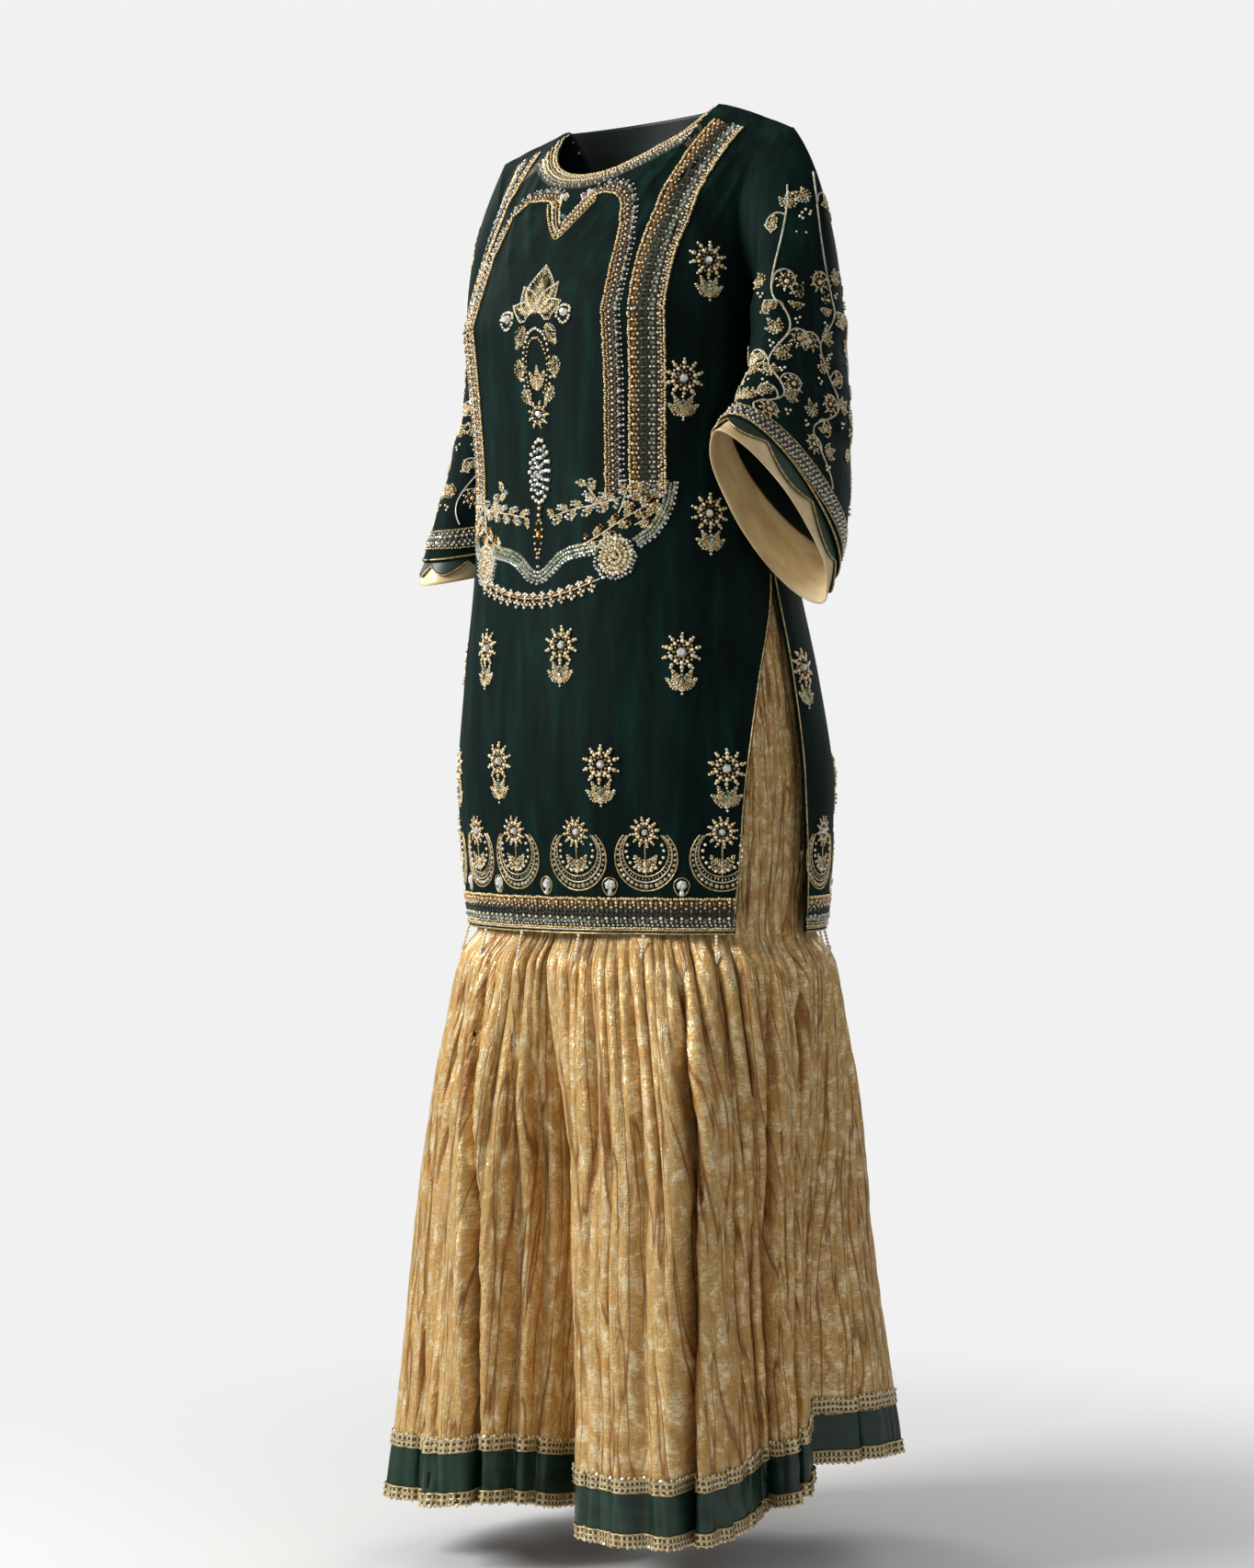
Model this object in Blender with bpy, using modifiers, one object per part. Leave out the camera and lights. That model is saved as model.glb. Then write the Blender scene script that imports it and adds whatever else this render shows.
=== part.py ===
"""Velvet kameez with side slits and bell sleeves, worn over a wide two-legged sharara.

Metres, +Z up. The wearer would face -Y, with the left arm toward +X. The origin lies on the middle of
the shoulder line, level with the neck ends of the shoulder seams. Every cloth piece is a wall lofted
through sections that are worked out from the tables below, and pieces are a seam gap apart.
"""

import math
from collections import namedtuple

import bpy
import numpy as np

# Driving sizes
VELVET = 0.0020
TISSUE = 0.0016
SATIN = 0.0012
TRIM = 0.0012
SEAM_GAP = 0.0003
TRIM_GAP = 0.0005

NECK_HALF_WIDTH = 0.100
NECK_FRONT_DROP = 0.066
NECK_FRONT_REACH = 0.073
NECK_BACK_RISE = 0.012
NECK_BACK_REACH = 0.060
SHOULDER_HALF_WIDTH = 0.192
LEFT_SHOULDER_DROP = 0.036
RIGHT_SHOULDER_DROP = 0.020
UNDERARM_Z = -0.215
KAMEEZ_HEM_Z = -0.807
NECK_SHARE = 0.455
ARMHOLE_INSET = 0.017
ARMHOLE_REACH = 0.030
ARMHOLE_EASE = 0.0030

WAIST_Z = -0.385
CROTCH_Z = -0.745
SHARARA_HEM_Z = -1.376
SATIN_BAND_HEIGHT = 0.052
LACE_HEIGHT = 0.012

# Kameez cross-sections: half width, reach of front and back from the centre, centre and squareness
Section = namedtuple("Section", "z half_width front back centre_y squareness front_edge back_edge")
KAMEEZ_SECTIONS = (
    Section(-0.215, 0.165, 0.137, 0.112, -0.018, 2.55, 90.0, 90.0),
    Section(-0.280, 0.161, 0.134, 0.107, -0.016, 2.45, 90.0, 90.0),
    Section(-0.360, 0.158, 0.132, 0.104, -0.014, 2.35, 90.0, 90.0),
    Section(-0.460, 0.170, 0.142, 0.120, -0.007, 2.25, 90.0, 90.0),
    Section(-0.560, 0.190, 0.153, 0.140, -0.002, 2.15, 78.5, 90.0),
    Section(-0.660, 0.204, 0.159, 0.156, 0.000, 2.10, 71.5, 90.0),
    Section(-0.740, 0.202, 0.153, 0.153, 0.001, 2.10, 70.0, 88.0),
    Section(-0.807, 0.195, 0.147, 0.149, 0.002, 2.10, 69.0, 86.0),
)

# Soft vertical folds of the kameez skirt: side of the cloth, place across it, depth and half width
SkirtFold = namedtuple("SkirtFold", "face share depth half_width")
SKIRT_FOLDS = (
    SkirtFold(-1, -0.74, 0.0068, 0.10),
    SkirtFold(-1, -0.36, 0.0040, 0.09),
    SkirtFold(-1, 0.14, 0.0035, 0.12),
    SkirtFold(-1, 0.56, 0.0060, 0.10),
    SkirtFold(-1, 0.86, 0.0045, 0.07),
    SkirtFold(1, -0.80, 0.0030, 0.09),
    SkirtFold(1, -0.42, 0.0070, 0.11),
    SkirtFold(1, 0.05, 0.0050, 0.12),
    SkirtFold(1, 0.40, 0.0060, 0.10),
    SkirtFold(1, 0.82, 0.0015, 0.08),
)

# Sleeve rings below the armhole: centre, half size across and front to back, rise of the front edge
SleeveRing = namedtuple("SleeveRing", "share x y z half_out half_front tilt")
LEFT_SLEEVE = (
    SleeveRing(0.30, 0.2040, -0.006, -0.215, 0.0320, 0.056, 4.0),
    SleeveRing(0.50, 0.2080, -0.008, -0.275, 0.0340, 0.061, 12.0),
    SleeveRing(0.72, 0.2125, -0.023, -0.335, 0.0370, 0.077, 28.0),
    SleeveRing(0.88, 0.2170, -0.038, -0.374, 0.0405, 0.092, 39.0),
    SleeveRing(1.00, 0.2180, -0.052, -0.398, 0.0420, 0.102, 46.0),
)
RIGHT_SLEEVE = (
    SleeveRing(0.30, 0.2050, 0.022, -0.210, 0.0330, 0.055, 0.0),
    SleeveRing(0.50, 0.2090, 0.022, -0.270, 0.0340, 0.057, -2.0),
    SleeveRing(0.72, 0.2170, 0.014, -0.335, 0.0380, 0.063, -6.0),
    SleeveRing(0.88, 0.2230, 0.006, -0.385, 0.0420, 0.070, -10.0),
    SleeveRing(1.00, 0.2270, 0.000, -0.420, 0.0450, 0.076, -12.0),
)

# Sharara envelope from waist to hem, and the ring that each leg opens into
Envelope = namedtuple("Envelope", "z half_width front back centre_y squareness")
SHARARA_SECTIONS = (
    Envelope(-0.385, 0.146, 0.118, 0.092, -0.012, 2.2),
    Envelope(-0.460, 0.160, 0.131, 0.110, -0.007, 2.2),
    Envelope(-0.560, 0.179, 0.142, 0.129, -0.002, 2.1),
    Envelope(-0.660, 0.189, 0.144, 0.141, 0.000, 2.1),
    Envelope(-0.745, 0.186, 0.138, 0.138, 0.001, 2.1),
    Envelope(-0.812, 0.181, 0.131, 0.132, 0.001, 2.1),
    Envelope(-0.838, 0.198, 0.148, 0.149, 0.000, 2.1),
    Envelope(-0.900, 0.208, 0.156, 0.154, -0.002, 2.1),
    Envelope(-1.000, 0.222, 0.172, 0.166, -0.006, 2.1),
    Envelope(-1.100, 0.232, 0.184, 0.178, -0.006, 2.1),
    Envelope(SHARARA_HEM_Z, 0.250, 0.205, 0.215, 0.000, 2.1),
)
LegRing = namedtuple("LegRing", "z x y half_width half_depth")
LEFT_LEG = (
    LegRing(-0.745, 0.092, 0.000, 0.092, 0.132),
    LegRing(-0.831, 0.098, 0.000, 0.099, 0.147),
    LegRing(-0.900, 0.100, 0.000, 0.104, 0.152),
    LegRing(-1.100, 0.103, 0.004, 0.107, 0.174),
    LegRing(-1.250, 0.106, 0.022, 0.108, 0.196),
    LegRing(SHARARA_HEM_Z, 0.106, 0.040, 0.108, 0.216),
)
RIGHT_LEG = (
    LegRing(-0.745, 0.092, 0.000, 0.092, 0.132),
    LegRing(-0.831, 0.098, 0.000, 0.099, 0.147),
    LegRing(-0.900, 0.098, -0.002, 0.102, 0.150),
    LegRing(-1.100, 0.103, -0.010, 0.105, 0.170),
    LegRing(-1.250, 0.105, -0.026, 0.108, 0.180),
    LegRing(SHARARA_HEM_Z, 0.106, -0.040, 0.111, 0.190),
)

# Large folds of each leg: direction (0 front, 90 outer side, 180 back), depth at the hem,
# half width in degrees and the height where the fold starts
LegFold = namedtuple("LegFold", "angle depth half_width top_z")
LEFT_FOLDS = (
    LegFold(-22.0, 0.012, 8.0, -0.90),
    LegFold(10.0, 0.011, 8.0, -0.86),
    LegFold(50.0, 0.058, 11.0, -0.84),
    LegFold(78.0, 0.012, 7.0, -0.90),
    LegFold(104.0, 0.060, 12.0, -0.80),
    LegFold(166.0, 0.024, 9.0, -0.86),
    LegFold(192.0, 0.028, 10.0, -0.86),
    LegFold(222.0, 0.022, 10.0, -0.90),
    LegFold(258.0, 0.026, 14.0, -0.95),
    LegFold(302.0, 0.018, 13.0, -0.95),
)
RIGHT_FOLDS = (
    LegFold(-20.0, 0.028, 15.0, -0.95),
    LegFold(10.0, 0.046, 8.0, -0.84),
    LegFold(42.0, 0.012, 8.0, -0.88),
    LegFold(70.0, 0.014, 9.0, -0.90),
    LegFold(104.0, 0.034, 11.0, -0.84),
    LegFold(142.0, 0.022, 10.0, -0.86),
    LegFold(176.0, 0.032, 11.0, -0.86),
    LegFold(206.0, 0.022, 9.0, -0.90),
    LegFold(252.0, 0.026, 14.0, -0.95),
    LegFold(300.0, 0.020, 13.0, -0.95),
)

# Rise of the hem above its lowest line: direction, height and half width in degrees
HemRise = namedtuple("HemRise", "angle height half_width")
LEFT_HEM = (HemRise(128.0, 0.050, 40.0), HemRise(75.0, 0.010, 20.0))
RIGHT_HEM = (HemRise(-24.0, 0.016, 18.0), HemRise(80.0, 0.016, 34.0), HemRise(185.0, 0.020, 50.0))

# Shares of a half panel where the grid lines of front and back run
FRONT_COLUMNS = (0.0, 0.14, 0.23, 0.31, 0.375, NECK_SHARE, 0.575, 0.69, 0.80, 0.90, 1.0)
BACK_COLUMNS = (0.0, 0.12, 0.24, 0.35, NECK_SHARE, 0.59, 0.73, 0.87, 1.0)
UPPER_ROWS = (0.0, 0.14, 0.34, 0.58, 0.80, 1.0)
LOWER_ROWS = (-0.265, -0.315, -0.365, -0.415, -0.460, -0.520, -0.590, -0.660, -0.720, -0.7715, KAMEEZ_HEM_Z)
SLEEVE_COLUMNS = 32
SLEEVE_SHARES = (0.0, 0.10, 0.20, 0.32, 0.50, 0.68, 0.82, 0.90, 0.96, 1.0)
CUFF_BAND_TOP = 0.90
CUFF_BAND_FOOT = 0.96
SCALLOPS = 8
SCALLOP_REACH = 0.012
SCALLOP_REST = 0.004
FACING_REACH = 0.024
WAIST_COLUMNS = 24
WAISTBAND_HEIGHT = 0.0277
LEG_TOP_STEP = 0.028
LEG_UPPER_ROWS = (WAIST_Z - LEG_TOP_STEP, -0.470, -0.540, -0.610, -0.680, CROTCH_Z)
LEG_LOWER_ROWS = (0.575, 0.545, 0.470, 0.390, 0.310, 0.235, 0.165, 0.105)
LEG_OUTER_COLUMNS = 38
LEG_INNER_COLUMNS = 10
LEG_SPREAD = 34.0
LEG_PARTING = 0.34
LEG_SQUARENESS = 2.2
SATIN_FOOT = 0.003
LACE_OVERLAP = 0.001

# Beaded bands on the front: columns from the middle and the rows where they start and end
STRIP_COLUMNS = (5.10, 6.0)
BIB_COLUMNS = (4.0, 4.88)
BIB_TOP_REACH = 3.97
BIB_TOP_ROWS = (2, 2.3)
STRIP_TOP_ROW = 0.06
BANDS_FOOT_ROW = 9
NECK_BAND_COLUMNS = 5

# How the cloth turns from the top edge into the body: evenness of the turn and the curves' powers
TURN_EVENNESS = 0.60
NECK_ROUNDING = 1.25
SHOULDER_SPACING = 0.72
SHOULDER_SLOPE = 1.15
INSET_POWER = 2.5
REACH_POWER = 5
FOLD_START_Z = -0.42
FOLD_POWER = 1.15

# Half width of the medallion in front columns, at places on the front's rows
MedallionRow = namedtuple("MedallionRow", "row half_width")
MEDALLION = (
    MedallionRow(3.5, 0.30),
    MedallionRow(4.0, 0.75),
    MedallionRow(5.0, 0.95),
    MedallionRow(6.0, 0.90),
    MedallionRow(7.0, 0.45),
    MedallionRow(8.0, 0.30),
)

# Colours, roughness and metallic value
Finish = namedtuple("Finish", "colour roughness metallic")
FINISHES = {
    "velvet": Finish((0.006, 0.030, 0.024), 0.70, 0.0),
    "tissue": Finish((0.560, 0.370, 0.140), 0.38, 0.35),
    "green_satin": Finish((0.012, 0.050, 0.028), 0.35, 0.0),
    "beige_satin": Finish((0.560, 0.410, 0.200), 0.40, 0.0),
    "gota": Finish((0.600, 0.480, 0.280), 0.40, 0.4),
    "beadwork": Finish((0.480, 0.360, 0.180), 0.35, 0.4),
    "waist_cotton": Finish((0.500, 0.340, 0.150), 0.60, 0.0),
}


def clear_scene() -> None:
    """Removes whatever the open scene holds."""
    for item in list(bpy.data.objects):
        bpy.data.objects.remove(item, do_unlink=True)


def material(name: str) -> bpy.types.Material:
    """Returns the material of a finish, made on first use."""
    found = bpy.data.materials.get(name)
    if found:
        return found
    finish = FINISHES[name]
    made = bpy.data.materials.new(name)
    made.use_nodes = True
    shader = made.node_tree.nodes["Principled BSDF"]
    shader.inputs["Base Color"].default_value = (*finish.colour, 1.0)
    shader.inputs["Roughness"].default_value = finish.roughness
    shader.inputs["Metallic"].default_value = finish.metallic
    return made


def collection(name: str) -> bpy.types.Collection:
    """Returns the collection that holds the pieces."""
    found = bpy.data.collections.get(name)
    if found is None:
        found = bpy.data.collections.new(name)
        bpy.context.scene.collection.children.link(found)
    return found


def smooth(value: float) -> float:
    """Eases a share from 0 to 1, clamped at both ends."""
    value = min(1.0, max(0.0, value))
    return value * value * (3.0 - 2.0 * value)


def bell(distance: float, half_width: float) -> float:
    """A soft bump of height 1 that falls away over about twice its half width."""
    return math.exp(-0.5 * (distance / half_width) ** 2)


def held(slope: float, rise: float) -> float:
    """Limits a slope so that the curve between two rows never swings past them."""
    if slope * rise <= 0.0:
        return 0.0
    return math.copysign(min(abs(slope), 2.0 * abs(rise)), rise)


def read(table: tuple, key: str, value: float, column: str) -> float:
    """Reads a column of a table on a smooth curve through its rows.

    Args:
        table: rows whose key column runs one way, up or down.
        key: name of the column that is looked up.
        value: place on that column, held within its ends.
        column: name of the column that is read.

    Returns:
        The column's value there.
    """
    keys = [getattr(row, key) for row in table]
    values = [getattr(row, column) for row in table]
    if keys[0] > keys[-1]:
        keys.reverse()
        values.reverse()
    value = min(keys[-1], max(keys[0], value))
    last = len(keys) - 2
    index = min(last, max(0, int(np.searchsorted(keys, value)) - 1))
    before = max(0, index - 1)
    after = min(last + 1, index + 2)
    span = keys[index + 1] - keys[index]
    share = (value - keys[index]) / span
    rise = values[index + 1] - values[index]
    slope_in = held((values[index + 1] - values[before]) / (keys[index + 1] - keys[before]) * span, rise)
    slope_out = held((values[after] - values[index]) / (keys[after] - keys[index]) * span, rise)
    square = share * share
    cube = square * share
    return ((2 * cube - 3 * square + 1) * values[index] + (cube - 2 * square + share) * slope_in
            + (3 * square - 2 * cube) * values[index + 1] + (cube - square) * slope_out)


def ring_reach(angle: float, half_width: float, depth: float, squareness: float) -> float:
    """Distance from the centre of a squared ellipse to its edge in one direction."""
    across = abs(math.sin(angle)) / half_width
    along = abs(math.cos(angle)) / depth
    return (across ** squareness + along ** squareness) ** (-1.0 / squareness)


def kameez_lower(face: int, share: float, z: float) -> np.ndarray:
    """Point of a kameez panel from the underarm down.

    Args:
        face: -1 for the front and 1 for the back.
        share: -1 at the right side edge, 0 at the middle, 1 at the left side edge.
        z: height.

    Returns:
        The point on the inner face of the cloth.
    """
    edge = read(KAMEEZ_SECTIONS, "z", z, "front_edge" if face < 0 else "back_edge")
    depth = read(KAMEEZ_SECTIONS, "z", z, "front" if face < 0 else "back")
    half_width = read(KAMEEZ_SECTIONS, "z", z, "half_width")
    squareness = read(KAMEEZ_SECTIONS, "z", z, "squareness")
    angle = math.radians(edge) * share
    reach = ring_reach(angle, half_width, depth, squareness)
    growth = smooth((z - FOLD_START_Z) / (KAMEEZ_HEM_Z - FOLD_START_Z))
    for fold in SKIRT_FOLDS:
        if fold.face == face:
            reach -= fold.depth * growth * bell(share - fold.share, fold.half_width)
    centre = read(KAMEEZ_SECTIONS, "z", z, "centre_y")
    gap = SEAM_GAP * 0.5 if face > 0 else -SEAM_GAP * 0.5
    return np.array([reach * math.sin(angle), centre + face * reach * math.cos(angle) + gap, z])


def kameez_top(face: int, share: float) -> np.ndarray:
    """Point of the neckline or the shoulder seam at one share of a panel."""
    side = 1.0 if share >= 0 else -1.0
    size = abs(share)
    gap = SEAM_GAP * 0.5 * face
    if size <= NECK_SHARE:
        turn = size / NECK_SHARE * math.pi / 2
        reach = NECK_FRONT_REACH if face < 0 else NECK_BACK_REACH
        height = -NECK_FRONT_DROP if face < 0 else NECK_BACK_RISE
        fall = math.cos(turn) ** NECK_ROUNDING if size < NECK_SHARE else 0.0
        return np.array([side * NECK_HALF_WIDTH * math.sin(turn), face * reach * fall + gap, height * fall])
    along = ((size - NECK_SHARE) / (1.0 - NECK_SHARE)) ** SHOULDER_SPACING
    x = NECK_HALF_WIDTH + (SHOULDER_HALF_WIDTH - NECK_HALF_WIDTH) * along
    fall = LEFT_SHOULDER_DROP if share > 0 else RIGHT_SHOULDER_DROP
    return np.array([side * x, gap, -fall * along ** SHOULDER_SLOPE])


def kameez_upper(face: int, share: float, drop: float) -> np.ndarray:
    """Point of a kameez panel between its top edge (drop 0) and the underarm level (drop 1)."""
    top = kameez_top(face, share)
    foot = kameez_lower(face, share, UNDERARM_Z)
    quarter = drop * math.pi / 2
    forward = TURN_EVENNESS * drop + (1.0 - TURN_EVENNESS) * math.sin(quarter)
    downward = TURN_EVENNESS * drop + (1.0 - TURN_EVENNESS) * (1.0 - math.cos(quarter))
    point = top.copy()
    point[0] += (foot[0] - top[0]) * drop
    point[1] += (foot[1] - top[1]) * forward
    point[2] += (foot[2] - top[2]) * downward
    arch = math.sin(math.pi * drop)
    point[0] -= math.copysign(ARMHOLE_INSET * arch * abs(share) ** INSET_POWER, share)
    point[1] += face * ARMHOLE_REACH * arch * abs(share) ** REACH_POWER
    return point


def grid_normals(rows: list) -> np.ndarray:
    """Unit normals of a grid of points, from its row and column directions."""
    points = np.array(rows)
    across = np.gradient(points, axis=1)
    along = np.gradient(points, axis=0)
    normals = np.cross(along, across)
    return normals / np.linalg.norm(normals, axis=2, keepdims=True)


def grid_object(name: str, points: np.ndarray, finish: str, thickness: float, closed: bool = False,
                skip: tuple = (0, 0, 0)) -> bpy.types.Object:
    """Makes one cloth wall from a grid of points on its inner face.

    Args:
        name: object's name.
        points: rows by columns by 3, running so that the outer face looks outward.
        finish: name of the material.
        thickness: wall, added on the outer side.
        closed: whether the last column joins the first.
        skip: (rows, first column, last column) of cells left out at the top, for a leg's open upper part.

    Returns:
        The object, in the garment's collection.
    """
    row_count, column_count = points.shape[:2]
    wrap = column_count if closed else column_count - 1
    used = {}
    faces = []
    for row in range(row_count - 1):
        for column in range(wrap):
            if row < skip[0] and skip[1] <= column < skip[2]:
                continue
            after = (column + 1) % column_count
            corners = ((row, column), (row + 1, column), (row + 1, after), (row, after))
            faces.append([used.setdefault(corner, len(used)) for corner in corners])
    vertices = [tuple(points[corner]) for corner in used]
    mesh = bpy.data.meshes.new(name)
    mesh.from_pydata(vertices, [], faces)
    mesh.validate()
    made = bpy.data.objects.new(name, mesh)
    collection("salwar_suit").objects.link(made)
    made.data.materials.append(material(finish))
    wall = made.modifiers.new("wall", "SOLIDIFY")
    wall.thickness = thickness
    wall.offset = 1.0
    wall.use_even_offset = False
    mesh.shade_smooth()
    return made


def mirrored(columns: tuple) -> list:
    """Shares from the right edge to the left edge, from those of one half."""
    return [-value for value in reversed(columns[1:])] + list(columns)


def panel_points(face: int, columns: tuple) -> np.ndarray:
    """Grid of a kameez panel, top edge first, columns running so that the normals look outward."""
    shares = mirrored(columns)
    if face > 0:
        shares.reverse()
    rows = [[kameez_upper(face, share, drop) for share in shares] for drop in UPPER_ROWS]
    rows += [[kameez_lower(face, share, z) for share in shares] for z in LOWER_ROWS]
    return np.array(rows)


def between(grid: np.ndarray, row_place: float, column_place: float) -> np.ndarray:
    """Point of a grid at a place that may lie between its rows and columns."""
    row = min(int(row_place), grid.shape[0] - 2)
    column = min(int(column_place), grid.shape[1] - 2)
    down = row_place - row
    across = column_place - column
    upper = grid[row, column] * (1.0 - across) + grid[row, column + 1] * across
    lower = grid[row + 1, column] * (1.0 - across) + grid[row + 1, column + 1] * across
    return upper * (1.0 - down) + lower * down


def patch(raised: np.ndarray, row_places: list, column_places: list) -> np.ndarray:
    """Points of a trim that lies on a panel, made from the panel's own points.

    Args:
        raised: the panel's grid, moved out to where the trim lies.
        row_places: places on the panel's rows, whole or between two of them.
        column_places: places on the panel's columns, whole or between two of them.

    Returns:
        The trim's grid.
    """
    return np.array([[between(raised, row, column) for column in column_places] for row in row_places])


def build_kameez() -> tuple:
    """Builds the two panels of the kameez and returns their grids."""
    front = panel_points(-1, FRONT_COLUMNS)
    back = panel_points(1, BACK_COLUMNS)
    grid_object("kameez_front", front, "velvet", VELVET)
    grid_object("kameez_back", back, "velvet", VELVET)
    return front, back


def build_kameez_trims(front: np.ndarray, back: np.ndarray) -> None:
    """Builds the beaded bands that lie on the panels."""
    raised = front + grid_normals(front) * (VELVET + TRIM_GAP)
    raised_back = back + grid_normals(back) * (VELVET + TRIM_GAP)
    middle = len(FRONT_COLUMNS) - 1
    neck_columns = list(range(middle - NECK_BAND_COLUMNS, middle + NECK_BAND_COLUMNS + 1))
    grid_object("neck_band", patch(raised, [0, 1], neck_columns), "beadwork", TRIM)
    strip_rows = [STRIP_TOP_ROW] + list(range(1, BANDS_FOOT_ROW + 1))
    bib_rows = list(range(BIB_TOP_ROWS[0], BANDS_FOOT_ROW + 1))
    for word, side in (("left", 1), ("right", -1)):
        strip_columns = sorted(middle + side * column for column in STRIP_COLUMNS)
        bib_columns = sorted(middle + side * column for column in BIB_COLUMNS)
        grid_object("strip_" + word, patch(raised, strip_rows, strip_columns), "beadwork", TRIM)
        grid_object("bib_" + word, patch(raised, bib_rows, bib_columns), "beadwork", TRIM)
    inner = int(BIB_TOP_REACH)
    top_columns = [middle - BIB_TOP_REACH] + list(range(middle - inner, middle + inner + 1))
    top_columns.append(middle + BIB_TOP_REACH)
    grid_object("bib_top", patch(raised, BIB_TOP_ROWS, top_columns), "beadwork", TRIM)
    medallion = [[between(raised, line.row, middle + side * line.half_width) for side in (-1, 0, 1)]
                 for line in MEDALLION]
    grid_object("medallion", np.array(medallion), "beadwork", TRIM)
    last = front.shape[0] - 1
    for name, panel in (("hem_band_front", raised), ("hem_band_back", raised_back)):
        band = patch(panel, [last - 1, last], list(range(panel.shape[1])))
        grid_object(name, band, "beadwork", TRIM)


def armhole(side: int, turn: float) -> np.ndarray:
    """Point of an armhole, turned to the left side: turn 0 is its front, 90 the shoulder, 270 the underarm."""
    angle = math.radians(turn % 360.0)
    drop = 0.5 - 0.5 * math.sin(angle)
    face = -1 if math.cos(angle) >= 0 else 1
    return kameez_upper(face, float(side), drop) * np.array([side, 1.0, 1.0])


def sleeve_point(side: int, turn: float, share: float) -> np.ndarray:
    """Point on the inner face of a sleeve.

    Args:
        side: 1 for the left sleeve and -1 for the right one.
        turn: direction in degrees, 0 front, 90 outer side, 180 back, 270 inner side.
        share: 0 at the armhole, 1 at the velvet cuff edge, more on what shows past it.

    Returns:
        The point.
    """
    table = LEFT_SLEEVE if side > 0 else RIGHT_SLEEVE
    held = min(1.0, max(0.0, share))
    angle = math.radians(turn)
    centre = np.array([read(table, "share", held, name) for name in ("x", "y", "z")])
    tilt = math.radians(read(table, "share", held, "tilt"))
    half_out = read(table, "share", held, "half_out")
    half_front = read(table, "share", held, "half_front")
    front = np.array([0.0, -math.cos(tilt), math.sin(tilt)])
    ring = centre + front * half_front * math.cos(angle)
    ring[0] += half_out * math.sin(angle)
    start = armhole(side, turn)
    start[0] += VELVET + 4 * SEAM_GAP + ARMHOLE_EASE * max(0.0, -math.sin(angle))
    weight = smooth(held / table[0].share)
    outward = 1.0 - (1.0 - weight) ** 3
    point = start * (1.0 - weight) + ring * weight
    point[0] = start[0] * (1.0 - outward) + ring[0] * outward
    if share > 1.0:
        step = 0.05
        near = sleeve_point(side, turn, 1.0 - step) * np.array([side, 1.0, 1.0])
        point += (point - near) / np.linalg.norm(point - near) * (share - 1.0)
    point[0] *= side
    return point


def sleeve_points(side: int, shares: list, turns: list) -> np.ndarray:
    """Grid of a sleeve, upper edge first."""
    order = list(turns) if side > 0 else list(reversed(turns))
    return np.array([[sleeve_point(side, turn, share) for turn in order] for share in shares])


def offset(points: np.ndarray, distance: float, closed: bool) -> np.ndarray:
    """Moves a grid along its normals, which run round when it is closed."""
    if not closed:
        return points + grid_normals(points) * distance
    padded = np.concatenate([points[:, -1:], points, points[:, :1]], axis=1)
    return points + grid_normals(padded)[:, 1:-1] * distance


def scallop_points(side: int, turns: list) -> np.ndarray:
    """Grid of the satin scallops under a cuff edge."""
    top = [sleeve_point(side, turn, CUFF_BAND_FOOT) for turn in turns]
    edge = [sleeve_point(side, turn, 1.0) for turn in turns]
    low = []
    for turn in turns:
        wave = abs(math.sin(math.radians(turn) * SCALLOPS / 2))
        low.append(sleeve_point(side, turn, 1.0 + SCALLOP_REST + SCALLOP_REACH * wave))
    rows = np.array([top, edge, low])
    return rows if side > 0 else rows[:, ::-1]


def build_sleeves() -> None:
    """Builds both sleeves with their cuff bands, satin scallops and facings."""
    turns = [360.0 * index / SLEEVE_COLUMNS for index in range(SLEEVE_COLUMNS)]
    band = slice(SLEEVE_SHARES.index(CUFF_BAND_TOP), SLEEVE_SHARES.index(CUFF_BAND_FOOT) + 1)
    for side, word in ((1, "left"), (-1, "right")):
        sleeve = sleeve_points(side, SLEEVE_SHARES, turns)
        grid_object("sleeve_" + word, sleeve, "velvet", VELVET, closed=True)
        cuff = offset(sleeve, VELVET + TRIM_GAP, True)[band]
        grid_object("cuff_band_" + word, cuff, "beadwork", TRIM, closed=True)
        scallops = offset(scallop_points(side, turns), -SATIN - TRIM_GAP, True)
        grid_object("scallops_" + word, scallops, "green_satin", SATIN, closed=True)
        beyond = (CUFF_BAND_TOP, CUFF_BAND_FOOT, 1.0 + FACING_REACH)
        facing = offset(sleeve_points(side, beyond, turns), -2 * (SATIN + TRIM_GAP), True)
        grid_object("facing_" + word, facing, "beige_satin", SATIN, closed=True)


def turn_gap(first: float, second: float) -> float:
    """Smallest difference of two directions in degrees."""
    return (first - second + 180.0) % 360.0 - 180.0


def leg_hem_z(side: int, angle: float) -> float:
    """Height of a leg's hem in one direction."""
    rises = LEFT_HEM if side > 0 else RIGHT_HEM
    return SHARARA_HEM_Z + sum(rise.height * bell(turn_gap(angle, rise.angle), rise.half_width)
                               for rise in rises)


def leg_direction(column: float) -> float:
    """Direction in degrees on the leg's ring of one column, outer columns first."""
    if column <= LEG_OUTER_COLUMNS:
        return -LEG_SPREAD + (180.0 + 2 * LEG_SPREAD) * column / LEG_OUTER_COLUMNS
    share = (column - LEG_OUTER_COLUMNS) / LEG_INNER_COLUMNS
    return 180.0 + LEG_SPREAD + (180.0 - 2 * LEG_SPREAD) * share


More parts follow.
